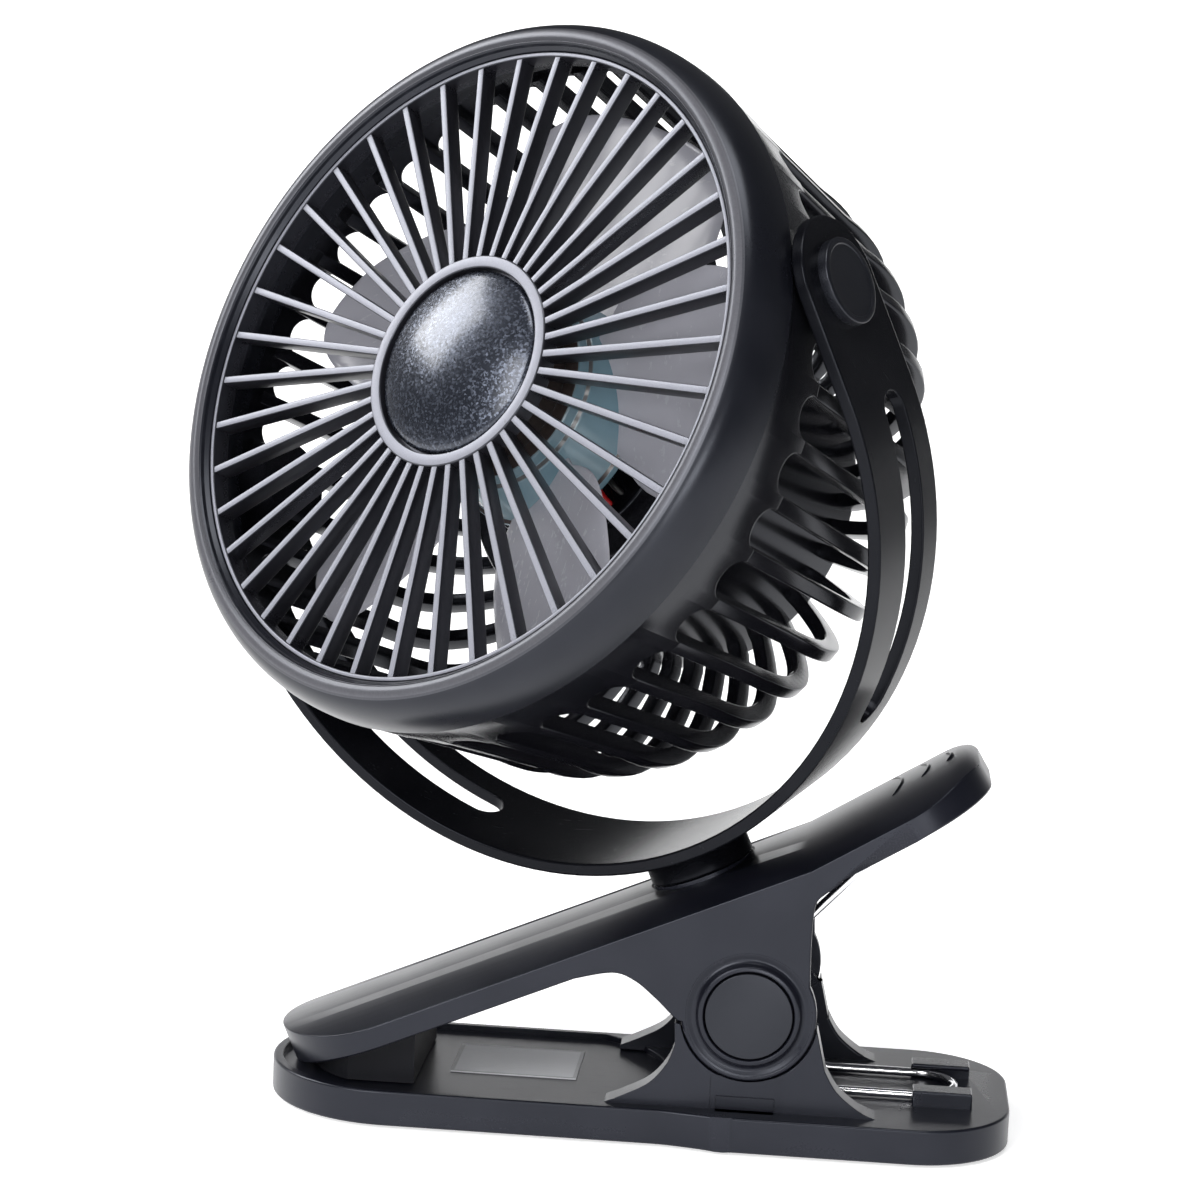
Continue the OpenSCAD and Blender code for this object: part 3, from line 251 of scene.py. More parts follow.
def softened(node, width, material, segments=3, carved=None, shaped=None, bare=None):
    """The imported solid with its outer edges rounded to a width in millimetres, or to less beside a
    narrow face. Carved is cut out first, shaped bends the mesh, and bare names places left sharp."""
    cut_sharp, corner = radians(38), radians(32)
    mesh = solid_copy(node)
    if carved:
        tool = bpy.data.objects.new("tool", carved)
        scene.collection.objects.link(tool)
        mesh = baked(node + "_cut", mesh, material, [("BOOLEAN", {"object": tool, "solver": "EXACT"})])
        bpy.data.objects.remove(tool)
        mesh.set_sharp_from_angle(angle=cut_sharp)
    work = bmesh.new()
    work.from_mesh(mesh)
    if shaped:
        shaped(work)
    share = work.edges.layers.float.new("bevel_weight_edge")
    most = width * 0.001
    sharp = [edge for edge in work.edges
             if len(edge.link_faces) == 2 and edge.calc_face_angle() > corner and edge.is_convex
             and not (bare and bare((edge.verts[0].co + edge.verts[1].co) / 2))]
    for edge, free in edge_room(sharp, most).items():
        edge[share] = free / most
    work.to_mesh(mesh)
    work.free()
    return baked(node + "_soft", mesh, material, [
        ("BEVEL", {"width": most, "segments": segments, "limit_method": "WEIGHT", "harden_normals": True,
                   "miter_outer": "MITER_ARC", "use_clamp_overlap": False})])


cool = (0.84, 0.88, 1.0)
shell_black = skin("shell_black", (0.005, 0.0054, 0.009), 0.31, grain=0.0004, depth=0.012, level=0.37,
                   sheen=cool)
deck_z, cheek_y = 7.7, 23.5
panel, slit = (25.1, 14.0, 14.6, 0.35), (26.3, 11.6, 10.4, 1.5)    # left, width, top and depth
panel_points, panel_faces = [], []
for side in (1, -1):
    for left, wide, high, deep in (panel, slit):
        first = len(panel_points)
        panel_points += [(0.001 * x, side * 0.001 * y, 0.001 * z) for x in (left, left + wide)
                         for y in (cheek_y - deep, cheek_y + 1.5) for z in (deck_z, high)]
        panel_faces += [[first + k for k in face] for face in (
            (0, 1, 3, 2), (4, 6, 7, 5), (0, 4, 5, 1), (2, 3, 7, 6), (0, 2, 6, 4), (1, 5, 7, 3))]
panels = bpy.data.meshes.new("panels")
panels.from_pydata(panel_points, [], panel_faces)
faced_out(panels)


def in_strips(work):
    """Cuts the tray across, so that no flat face has to reach round the recess."""
    for place in (-0.055, -0.035, -0.015, 0.005, 0.05, 0.07):
        bmesh.ops.bisect_plane(work, geom=list(work.verts) + list(work.edges) + list(work.faces), dist=0.0002,
                               plane_co=(place, 0, 0), plane_no=(1, 0, 0))


def left_sharp(spot):
    """The foot of the lugs, and the edges of the panel and slit carved below the hinge."""
    x, y, z = 1000 * spot
    left, wide, high, _ = panel
    in_panel = abs(y) > cheek_y - 2 and left - 0.1 < x < left + wide + 0.1 and z < high + 0.1
    return deck_z + 0.02 < z < deck_z + 1.1 or in_panel


tray = softened("base_tray", 0.5, shell_black, carved=panels, shaped=in_strips, bare=left_sharp)
show("lower_jaw_tray", tray, "base", "shell_black", "base_tray")


# ---- Cover plate, foot and screws under the tray --------------------------------------
# A black plate closes the hollow underneath, held by four small screws, and a rubber
# foot pad is glued over it. Both are plain mouldings; only the foot touches the table.

def dress(node, material):
    """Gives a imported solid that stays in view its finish."""
    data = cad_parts[node].data
    data.materials.clear()
    data.materials.append(material)


rubber_black = skin("rubber_black", (0.006, 0.0063, 0.0085), 0.6, grain=0.0007, depth=0.05, haze=0.1,
                    level=0.12)
dress("base_plate", shell_black)
dress("foot_pad", rubber_black)
steel = skin("steel", (0.42, 0.43, 0.45), 0.27, grain=0.0003, depth=0.006, metal=1.0, edge=0.2)
dress("base_screws", steel)


# ---- Blank label ----------------------------------------------------------------------
# A thin grey foil plate stuck in the recess and left blank, with a faint darker border.

def foil():
    """Brushed grey foil with a darker border."""
    material, mix, spot = new_finish("label_grey")
    middle_x, middle_y, half_x, half_y = -0.016, 0.004, 0.013, 0.01
    inner, outer = 0.0009, 0.0006
    place = mix.node("ShaderNodeMapping", None, {"Vector": spot, "Location": (-middle_x, -middle_y, 0)})
    apart = mix.node("ShaderNodeSeparateXYZ", None, {"Vector": place})
    along = mix.node("ShaderNodeMath", {"operation": "ABSOLUTE"}, {0: apart})
    across = mix.node("ShaderNodeMath", {"operation": "ABSOLUTE"}, {0: apart.at("Y")})
    rim = mix.node("ShaderNodeMath", {"operation": "MAXIMUM"}, {
        0: mix.band(along, half_x - inner, half_x - outer),
        1: mix.band(across, half_y - inner, half_y - outer)})
    brushed = mix.noise(mix.stretched(spot, (1, 14, 1)), 0.002, 3.0)
    metal = mix.blend(brushed, (0.72, 0.73, 0.77, 1), (0.84, 0.85, 0.88, 1))
    mix.surface({"Base Color": mix.blend(rim * 0.6, metal, (0.36, 0.36, 0.38, 1)),
                 "Roughness": 0.4 + 0.14 * brushed, "Metallic": 0.1})
    return material


dress("label_plate", foil())


# ---- Hinge axle and its caps ------------------------------------------------------------
# A steel pin carries the two jaws. Each end is hidden by a pressed-in black cap: a low
# domed disc on a thin lip, sitting in the dished round of the upper jaw's cheek.

def eased(corners, steps=4, closed=True):
    """Rounds the corners of an outline. Each corner is (x, y) or (x, y, radius)."""
    points = []
    for i, corner in enumerate(corners):
        here = Vector(corner[:2])
        if len(corner) < 3 or (not closed and i in (0, len(corners) - 1)):
            points.append(tuple(here))
            continue
        before = Vector(corners[i - 1][:2]) - here
        after = Vector(corners[(i + 1) % len(corners)][:2]) - here
        half = before.angle(after) / 2
        back = min(corner[2] / tan(half), 0.46 * before.length, 0.46 * after.length)
        radius = back * tan(half)
        centre = here + (before.normalized() + after.normalized()).normalized() * radius / sin(half)
        first = here + before.normalized() * back - centre
        last = here + after.normalized() * back - centre
        start = atan2(first.y, first.x)
        turn = (atan2(last.y, last.x) - start + pi) % (2 * pi) - pi
        points += [(centre.x + radius * cos(start + turn * k / steps),
                    centre.y + radius * sin(start + turn * k / steps)) for k in range(steps + 1)]
    return points


def formed(name, points, faces, place, material, sharp=38):
    """A mesh from points in millimetres, turned outwards and set in its place."""
    mesh = bpy.data.meshes.new(name)
    mesh.from_pydata(points, [], faces)
    work = bmesh.new()
    work.from_mesh(mesh)
    bmesh.ops.remove_doubles(work, verts=work.verts, dist=1e-4)
    bmesh.ops.dissolve_degenerate(work, edges=work.edges, dist=1e-5)
    bmesh.ops.recalc_face_normals(work, faces=work.faces)
    work.to_mesh(mesh)
    work.free()
    mesh.transform(place)
    mesh.materials.append(material)
    mesh.shade_smooth()
    mesh.set_sharp_from_angle(angle=radians(sharp))
    return mesh


def turned(outline, steps=144):
    """Turns an outline of (radius, height) about Z. Returns points and faces."""
    points, faces, rows = [], [], []
    for radius, height in outline:
        if radius < 1e-6:
            rows.append([len(points)])
            points.append((0, 0, height))
        else:
            rows.append(list(range(len(points), len(points) + steps)))
            points += [(radius * cos(2 * pi * k / steps), radius * sin(2 * pi * k / steps), height)
                       for k in range(steps)]
    for a, b in zip(rows, rows[1:] + rows[:1]):
        if len(a) == len(b) == 1:
            continue
        for k in range(steps):
            ring = [a[k % len(a)], a[(k + 1) % len(a)], b[(k + 1) % len(b)], b[k % len(b)]]
            faces.append(list(dict.fromkeys(ring)))
    return points, faces


def joined(parts):
    """Several (points, faces) as one."""
    points, faces = [], []
    for more_points, more_faces in parts:
        faces += [[i + len(points) for i in face] for face in more_faces]
        points += more_points
    return points, faces


def placed(shape, matrix):
    """The same points and faces, moved by a matrix."""
    return [tuple(matrix @ Vector(p)) for p in shape[0]], shape[1]


mm = Matrix.Scale(0.001, 4)
pivot = (32.1, 0, 27.2)
dish_depth, foot_proud = 0.8, 0.3


def on_both_cheeks(shape):
    """Sets a turned shape on each side of the hinge, its foot a little proud of the cheek's dish."""
    foot_y = cheek_y - dish_depth + foot_proud
    return joined([placed(shape, Matrix.Translation((pivot[0], side * foot_y, pivot[2]))
                          @ Matrix.Rotation(radians(-90 * side), 4, "X")) for side in (1, -1)])


cap_black = skin("cap_black", (0.0065, 0.007, 0.0095), 0.3, grain=0.00035, depth=0.02, level=0.4, sheen=cool)
cap = turned(eased([(0, -0.2), (8.0, -0.2), (8.65, 0, 0.1), (8.65, 1.5, 0.22), (0, 1.62)], closed=False))
caps = formed("hinge_caps", *on_both_cheeks(cap), mm, cap_black)
show("hinge_caps", caps, "base", "cap_black", "pivot_caps")
dress("pivot_axle", steel)


# ---- Clip spring ------------------------------------------------------------------------
# One steel wire: a bent leg under the tray's hooks, two coils round the axle on each side,
# and two arms that press up under the thumb plate. Drawn along its path, bright nickel.

def grown(tree, source, values, name, place, sharp=38):
    """Runs a finished tree on a source mesh and gives back the plain mesh in its place."""
    seed = bpy.data.objects.new(name, source)
    scene.collection.objects.link(seed)
    bench = seed.modifiers.new(name, "NODES")
    bench.node_group = tree
    for item in tree.interface.items_tree:
        if item.item_type == "SOCKET" and item.in_out == "INPUT" and item.name in values:
            bench[item.identifier] = values[item.name]
    mesh = bpy.data.meshes.new_from_object(seed.evaluated_get(bpy.context.evaluated_depsgraph_get()))
    seed.modifiers.remove(bench)
    bpy.data.objects.remove(seed)
    faced_out(mesh)
    mesh.name = name
    mesh.transform(place)
    mesh.polygons.foreach_set("material_index", [0] * len(mesh.polygons))
    mesh.materials.clear()
    mesh.materials.append(values["Material"])
    mesh.shade_smooth()
    mesh.set_sharp_from_angle(angle=radians(sharp))
    return mesh


def tree_of(name, **inputs):
    """An empty geometry tree with named inputs. Returns its recipe, its inputs and its way out."""
    tree = bpy.data.node_groups.new(name, "GeometryNodeTree")
    tree.interface.new_socket("Geometry", in_out="OUTPUT", socket_type="NodeSocketGeometry")
    tree.interface.new_socket("Geometry", in_out="INPUT", socket_type="NodeSocketGeometry")
    for key, kind in inputs.items():
        tree.interface.new_socket(key, in_out="INPUT", socket_type="NodeSocket" + kind)
    tree.interface.new_socket("Material", in_out="INPUT", socket_type="NodeSocketMaterial")
    recipe = Recipe(tree)
    group_in = tree.nodes.new("NodeGroupInput")
    group_out = tree.nodes.new("NodeGroupOutput")

    def given(key):
        return Amount(recipe, group_in.outputs[key])

    def finish(made):
        real = recipe.node("GeometryNodeRealizeInstances", None, {"Geometry": made})
        done = recipe.node("GeometryNodeSetMaterial", None, {"Geometry": real, "Material": given("Material")})
        tree.links.new(done.socket, group_out.inputs[0])

    return recipe, given, finish


def path_mesh(name, points, closed=False):
    """A line through the points, as edges alone."""
    mesh = bpy.data.meshes.new(name)
    links = [(i, i + 1) for i in range(len(points) - 1)] + ([(len(points) - 1, 0)] if closed else [])
    mesh.from_pydata(points, links, [])
    return mesh


wire, given, finish = tree_of("Wire", Radius="Float", Sides="Int")
line = wire.node("GeometryNodeMeshToCurve", None, {"Mesh": given("Geometry")})
smooth = wire.node("GeometryNodeResampleCurve", None, {"Curve": line, "Count": 10})
smooth.socket.node.mode = "LENGTH"
smooth.socket.node.inputs["Length"].default_value = 0.9
section = wire.node("GeometryNodeCurvePrimitiveCircle", None, {
    "Resolution": given("Sides"), "Radius": given("Radius")})
finish(wire.node("GeometryNodeCurveToMesh", None, {
    "Curve": smooth, "Fill Caps": True, "Profile Curve": section}))

lean, thumb_bend = radians(23.5), radians(8)
bend_u, bend_v = 22, 23
crown_top, crown_rise, crown_wall = 26.7, 3.7, 2.2
crown_r = (cheek_y ** 2 + crown_rise ** 2) / (2 * crown_rise)
wire_r, coil_r, leg_y, leg_end = 0.9, 5.0, 8.0, 74.0
wire_z = deck_z + wire_r + 0.15
cheek_inner_y = 17.6
arm_y = cheek_inner_y - wire_r - 0.6
coil_y = arm_y - 2 * wire_r - 0.2


def leaves(point, way):
    """The angle at which a straight wire to a point leaves the coil."""
    return atan2(point[1], point[0]) + way * acos(coil_r / hypot(*point))


press_u = 44
under_crown = crown_top - crown_r + sqrt((crown_r - crown_wall) ** 2 - arm_y ** 2)
press_v = under_crown + (press_u - bend_u) * tan(thumb_bend) - wire_r - 0.35
press = (press_u * cos(lean) - press_v * sin(lean), press_u * sin(lean) + press_v * cos(lean))
press_angle = leaves(press, 1)
foot = (16, wire_z - pivot[2])
leg_angle = leaves(foot, -1) + 2 * pi
sweep = leg_angle + 4 * pi - press_angle
coil_steps = 72
half = []
for i in range(coil_steps + 1):
    t = i / coil_steps
    a = press_angle + sweep * t
    half.append((pivot[0] + coil_r * cos(a), coil_y + (leg_y - coil_y) * t, pivot[2] + coil_r * sin(a)))
half.append((pivot[0] + foot[0] - 1.5, leg_y, wire_z + 0.45))
half.append((pivot[0] + foot[0], leg_y, wire_z))
for i in range(16):
    a = radians(90 - 6 * i)
    half.append((leg_end - leg_y + leg_y * cos(a), leg_y * sin(a), wire_z))
both_halves = half + [(x, -y, z) for x, y, z in reversed(half[:-1])]
spring_steel = skin("spring_steel", (0.72, 0.72, 0.74), 0.16, grain=0.0003, depth=0.004, metal=1.0,
                    haze=0.05, edge=0.1)
spring_wire = {"Radius": wire_r, "Sides": 16, "Material": spring_steel}
show("spring_wire", grown(wire.tree, path_mesh("spring_line", both_halves), spring_wire, "spring_wire", mm),
     "base", "spring_steel", "clip_spring")
rise = lean + thumb_bend
tip = (press[0] + 4 * cos(rise), press[1] + 4 * sin(rise))
arms, arm_links = [], []
for side in (1, -1):
    on_coil = [press_angle + radians(12 * i) for i in range(9)]
    run = [tip, press] + [(coil_r * cos(a), coil_r * sin(a)) for a in on_coil]
    arm_links += [(len(arms) + i, len(arms) + i + 1) for i in range(len(run) - 1)]
    arms += [(pivot[0] + x, side * arm_y, pivot[2] + z) for x, z in run]
arm_lines = bpy.data.meshes.new("arm_lines")
arm_lines.from_pydata(arms, arm_links, [])
show("spring_arm_wires", grown(wire.tree, arm_lines, spring_wire, "spring_arm_wires", mm),
     "upper_jaw", "spring_steel", "spring_arms")


# ---- Upper jaw --------------------------------------------------------------------------
# The crowned lever with its thumb plate and hinge cheeks, in the same black ABS. Three
# curved grip ridges are moulded across the thumb end, and a bowl rings each hinge cap.

jaw_place = mm @ Matrix.Translation(pivot) @ Matrix.Rotation(-lean, 4, "Y")
thumb_place = jaw_place @ Matrix.Translation((bend_u, 0, bend_v)) @ Matrix.Rotation(-thumb_bend, 4, "Y") \
    @ Matrix.Translation((-bend_u, 0, -bend_v))
thumb_back = thumb_place.inverted()
thumb_turn = thumb_back.to_3x3()


def ridge(middle, bow, half_w, radius):
    """A bent rib lying half sunk in the crown of the thumb plate."""
    rings, sides, steps = [], 10, 24
    for i in range(steps + 1):
        t = 2 * i / steps - 1
        y = half_w * t
        x = middle + bow * (1 - t * t)
        z = crown_top - crown_r + sqrt(crown_r ** 2 - y * y) + radius * 0.1
        slope = Vector((-2 * bow * t / half_w, 1, 0)).normalized()
        across = Vector((slope.y, -slope.x, 0))
        size = radius * max(0.08, sqrt(1 - t * t))
        rings.append([tuple(Vector((x, y, z)) + size * (cos(2 * pi * k / sides) * across
                            + sin(2 * pi * k / sides) * Vector((0, 0, 1)))) for k in range(sides)])
    points = [p for ring in rings for p in ring]
    faces = []
    for i in range(steps):
        for k in range(sides):
            n = (k + 1) % sides
            faces.append([i * sides + k, i * sides + n, (i + 1) * sides + n, (i + 1) * sides + k])
    faces += [list(range(sides)), [len(points) - 1 - k for k in range(sides)]]
    return points, faces


def thumb_end(work):
    """Turns the end of the thumb plate down, more the nearer its crown."""
    start, length, drop, under, over, crown_z = 53.5, 6.6, 3.2, 18.6, 5, 24
    for place in (start, 55.2, 56.8, 58.1, 59.2):
        crown = [face for face in work.faces if (thumb_back @ face.calc_center_median()).z > crown_z
                 and (thumb_turn @ face.normal).z > 0.5]
        bmesh.ops.bisect_plane(
            work, geom=list({part for face in crown for part in (*face.verts, *face.edges, face)}),
            plane_co=thumb_place @ Vector((place, 0, 0)), plane_no=thumb_place.to_3x3() @ Vector((1, 0, 0)))
    for vert in work.verts:
        spot = thumb_back @ vert.co
        if spot.x > start and spot.z > under:
            t = min((spot.x - start) / length, 1)
            spot.z -= drop * (1 - sqrt(1 - t * t)) * min(1, (spot.z - under) / over)
            vert.co = thumb_place @ spot


show("upper_jaw_shell", softened("upper_jaw", 0.5, shell_black, 4, shaped=thumb_end),
     "upper_jaw", "shell_black", "upper_jaw")
ridge_r = 0.34
three_ridges = joined([ridge(middle, bow, half_w, ridge_r)
                       for middle, bow, half_w in ((41.5, 2.6, 8.5), (48.2, 2.0, 6.2), (54.0, 1.4, 3.9))])
show("grip_ridges", formed("grip_ridges", *three_ridges, thumb_place, cap_black), "upper_jaw", "shell_black")
bowl = turned(eased([
    (12.55, 0.45), (12.2, 0.35, 0.6), (11.2, -0.05, 1.2), (10.5, 0.35, 1.0), (10.0, 1.3, 0.5),
    (9.2, 1.5, 0.4), (9.0, 1.2, 0.2), (9.0, -0.1), (12.55, -0.1)]))
show("hinge_bowls", formed("hinge_bowls", *on_both_cheeks(bowl), mm, shell_black), "upper_jaw", "shell_black")
dress("jaw_pad", rubber_black)
dress("friction_washer", shell_black)


# ---- Yoke -------------------------------------------------------------------------------
# The U that carries the head, with long slots in both arms and a round collar on the neck.
# One black ABS moulding, smoother than the clip; the swivel screw holds it from below.

neck_u, neck_turn, fan_rise, fan_tilt = -0.9, radians(-26.2), 128.85, radians(54.8)
neck_place = jaw_place @ Matrix.Translation((neck_u, 0, 0)) @ Matrix.Rotation(neck_turn, 4, "Z")
yoke_place = neck_place @ Matrix.Translation((0, 0, fan_rise))
yoke_black = skin("yoke_black", (0.003, 0.0032, 0.0045), 0.24, grain=0.0006, depth=0.006, haze=0.05,
                  level=0.14, sheen=cool)
show("yoke_band", softened("yoke", 0.55, yoke_black), "yoke", "shell_black", "yoke")
yoke_cap = turned(eased([
    (0, 0), (8.5, 0), (8.5, 2, 0.35), (7.3, 2, 0.2), (7.05, 1.78, 0.2), (0, 1.78)], closed=False))
yoke_face = 76.6
yoke_caps = joined([placed(yoke_cap, Matrix.Rotation(radians(angle), 4, "Z")
                           @ Matrix.Translation((yoke_face, 0, 0)) @ Matrix.Rotation(radians(90), 4, "Y"))
                    for angle in (0, 180)])
show("yoke_end_caps", formed("yoke_end_caps", *yoke_caps, yoke_place, cap_black),
     "yoke", "cap_black", "yoke_caps")
dress("swivel_screw", steel)
dress("swivel_washer", steel)


# ---- Front ring -------------------------------------------------------------------------
# The bowed bezel that holds the grille, satin black, with a fine double lip at its mouth.
# A turned form: its outline is swept round the fan's axis.

fan_place = yoke_place @ Matrix.Rotation(fan_tilt, 4, "X")
sweep_tree, given, finish = tree_of("Bezel sweep", Radius="Float", Steps="Int")
outline = sweep_tree.node("GeometryNodeMeshToCurve", None, {"Mesh": given("Geometry")})
hoop = sweep_tree.node("GeometryNodeCurvePrimitiveCircle", None, {
    "Resolution": given("Steps"), "Radius": given("Radius")})
hoop = sweep_tree.node("GeometryNodeSetCurveNormal", {"mode": "Z_UP"}, {"Curve": hoop})
finish(sweep_tree.node("GeometryNodeCurveToMesh", None, {"Curve": hoop, "Profile Curve": outline}))

ring_r, ring_back, ring_front, mouth_r = 73.5, 12, 23.5, 66
wall_r, wall_z, wall_steps = 68.1, 13.2, 18
ring_wall = []
for i in range(wall_steps + 1):
    t = radians(90 * i / wall_steps)
    ring_wall.append((wall_r + (ring_r - wall_r) * sin(t) ** 0.9,
                      wall_z + (ring_front - wall_z) * max(cos(t), 0) ** 0.9))
ring_outline = eased([(mouth_r, 15), (mouth_r, 21.4, 0.4), (66.75, 22.2, 0.3), (66.9, 22.9, 0.3),
                      (67.45, ring_front, 0.35)])
ring_outline += ring_wall + eased([(ring_r, 12.2, 0.3), (73.1, ring_back, 0.1)], closed=False)
ring_outline += [(71.2, ring_back), (71.2, 8.5), (69.4, 8.5), (69.4, 15)]
hoop_r = 60.0    # the outline is drawn from this circle
facing = (fan_place.to_3x3() @ Vector((0, 0, 1))).normalized()
# Faces turned forward along the fan's axis, the front of the lip, are coloured a lighter grey: a painted
# reflection.
ring_black = skin("ring_black", (0.005, 0.0054, 0.008), 0.29, grain=0.0005, depth=0.01, haze=0.05, level=0.38,
                  sheen=cool, face=(facing, (0.06, 0.06, 0.068), (0.09, 0.09, 0.1)))
ring = grown(sweep_tree.tree, path_mesh("ring_outline", [(r - hoop_r, -z, 0) for r, z in ring_outline], True),
             {"Radius": hoop_r, "Steps": 288, "Material": ring_black}, "front_bezel", fan_place)
show("front_bezel", ring, "head", "ring_black", "front_ring")


# ---- Front grille -----------------------------------------------------------------------
# Forty flat spokes between a hub ring and a thin rim, snapped in behind the bezel's lip.
# Graphite paint; the faces turned forward are coloured a lighter grey, and their flanks stay dark.

def round_the_axis(recipe, given, item, raised=0.0):
    """Repeats an item Count times round Z from a Phase on, raised about X before it is turned."""
    turn = recipe.node("GeometryNodeInputIndex") * (2 * pi) / given("Count") + given("Phase")
    return recipe.node("GeometryNodeInstanceOnPoints", None, {
        "Points": recipe.node("GeometryNodePoints", None, {"Count": given("Count")}), "Instance": item,
        "Rotation": recipe.node("ShaderNodeCombineXYZ", None, {"X": raised, "Z": turn})})


def merged(mesh, more):
    """Adds a second mesh to the first."""
    work = bmesh.new()
    work.from_mesh(mesh)
    work.from_mesh(more)
    work.to_mesh(mesh)
    work.free()
    return mesh


bars, given, finish = tree_of("Ring of bars", Depth="Float", Width="Float", Ease="Float", Count="Int",
                              Phase="Float")
line = bars.node("GeometryNodeMeshToCurve", None, {"Mesh": given("Geometry")})
line = bars.node("GeometryNodeSetCurveNormal", {"mode": "Z_UP"}, {"Curve": line})
section = bars.node("GeometryNodeCurvePrimitiveQuadrilateral", None, {
    "Width": given("Depth"), "Height": given("Width")})
section = bars.node("GeometryNodeFilletCurve", {"mode": "POLY"}, {
    "Curve": section, "Count": 3, "Radius": given("Ease")})
bar = bars.node("GeometryNodeCurveToMesh", None, {"Curve": line, "Profile Curve": section, "Fill Caps": True})
finish(round_the_axis(bars, given, bar, pi / 2))

grille_grey = skin("grille_grey", (0.008, 0.008, 0.0105), 0.3, grain=0.0003, depth=0.014, haze=0.05, edge=0.1,
                   sheen=cool, face=(facing, (0.17, 0.173, 0.2), (0.24, 0.244, 0.28)))
spoke_in, spoke_step, spoke_front, spoke_depth = 21.4, 4.41, 21, 4.0
spoke_line = [(spoke_in + spoke_step * i, spoke_front - spoke_depth / 2, 0) for i in range(11)]
spokes = grown(bars.tree, path_mesh("spoke_line", spoke_line), {
    "Depth": spoke_depth, "Width": 1.6, "Ease": 0.3, "Count": 40, "Phase": radians(3.8),
    "Material": grille_grey}, "grille_spokes", fan_place)
rim_back, rim_front = 17, 21.3
rim = turned(eased([
    (64.9, rim_back), (65.9, rim_back), (65.9, rim_front, 0.3), (64.9, rim_front, 0.3)]), 288)
hub_ring = turned(eased([
    (0, rim_back), (22.2, rim_back, 0.3), (22.2, rim_front, 0.5), (19.6, rim_front, 0.4), (19.6, 18.6),
    (0, 18.6)], closed=False), 192)
grille_rings = formed("grille_rings", *joined([rim, hub_ring]), fan_place, grille_grey)
show("front_grille_spokes", merged(spokes, grille_rings), "head", "grille_grey", "front_grille")


# ---- Centre cap -------------------------------------------------------------------------
# A domed cap glued into the hub ring, in pearl blue-grey lacquer with fine metal flake
# under a clear coat. A narrow groove is left round it.

def pearl():
    """Blue-grey lacquer with metal flakes, each tilted a little its own way."""
    material, mix, spot = new_finish("dome_blue_grey")
    flake = mix.node("ShaderNodeTexVoronoi", None, {"Vector": spot, "Scale": 2600.0}, "Color")
    apart = mix.node("ShaderNodeSeparateColor", None, {"Color": flake})
    cloud = mix.noise(spot, 0.006, 3.0)
    glint = mix.band(apart, 0.55, 1.0)
    paint = mix.blend(glint * 0.5 + 0.25 * cloud, (0.012, 0.015, 0.025, 1), (0.13, 0.147, 0.19, 1))
    tilt = mix.node("ShaderNodeVectorMath", {"operation": "SUBTRACT"}, {0: flake, 1: (0.5, 0.5, 0.5)})
    tilt = mix.node("ShaderNodeVectorMath", {"operation": "SCALE"}, {0: tilt, "Scale": 0.14})
    normal = mix.node("ShaderNodeVectorMath", {"operation": "ADD"}, {
        0: mix.node("ShaderNodeNewGeometry", out="Normal"), 1: tilt})
    normal = mix.node("ShaderNodeVectorMath", {"operation": "NORMALIZE"}, {0: normal})
    mix.surface({"Base Color": paint, "Metallic": 0.75, "Roughness": 0.27 + 0.08 * glint, "Normal": normal,
                 "Coat Weight": 0.6, "Coat Roughness": 0.18})
    return material


dome_r, dome_top, dome_rise, dome_foot, dome_steps = 19.15, 24.6, 4, 18.7, 24
ball_r = (dome_r ** 2 + dome_rise ** 2) / (2 * dome_rise)
dome = [(0, dome_foot), (dome_r, dome_foot), (dome_r, dome_top - dome_rise - 0.3)]
for k in range(1, dome_steps):
    a = asin(dome_r / ball_r) * (1 - k / dome_steps)
    dome.append((ball_r * sin(a), dome_top - ball_r + ball_r * cos(a)))
dome.append((0, dome_top))
show("centre_cap", formed("centre_cap", *turned(dome, 160), fan_place, pearl(), 60),
     "head", "dome_blue_grey", "hub_cap")


# ---- Rear cage --------------------------------------------------------------------------
# The basket behind the rotor: a band behind the bezel, forty ribs bending in to the pod,
# the pod with its housing, and the two tilt bosses. Glossy black, one moulding.

rib_count, rib_phase, rib_w, rib_depth = 40, 2.1, 3.0, 3.8
belly_z, belly_r, belly_depth, mouth_spread = -29, 69.1, 40, 4.2


def cage_at(z):
    """The cage's radius at a height: a slight cone in front, a full rounded bowl behind."""
    if z > belly_z:
        return belly_r + mouth_spread * (z - belly_z) / (ring_back - belly_z)
    return belly_r * max(0, 1 - ((belly_z - z) / belly_depth) ** 2.6) ** (1 / 2.6)


cage_black = skin("cage_black", (0.0035, 0.0036, 0.005), 0.2, grain=0.0006, depth=0.006, haze=0.06, level=0.4,
                  sheen=cool)
pod_r, half_rib = 36, rib_depth / 2
rib_line = []
for z in [6, 0, -10, -20] + [belly_z - belly_depth * sin(radians(t)) ** 0.9 for t in range(0, 89, 4)]:
    if cage_at(z) > pod_r + 1.5:
        lie = 0 if z > belly_z else radians(90) * ((belly_z - z) / belly_depth) ** 2.2
        rib_line.append((cage_at(z) - 0.2 - half_rib * cos(lie), z + half_rib * sin(lie), 0))
rib_line.append((pod_r - 0.8, rib_line[-1][1] + 0.3, 0))
cage = grown(bars.tree, path_mesh("rib_line", rib_line), {
    "Depth": rib_depth, "Width": rib_w, "Ease": 0.45, "Count": rib_count, "Phase": radians(rib_phase),
    "Material": cage_black}, "cage", fan_place)

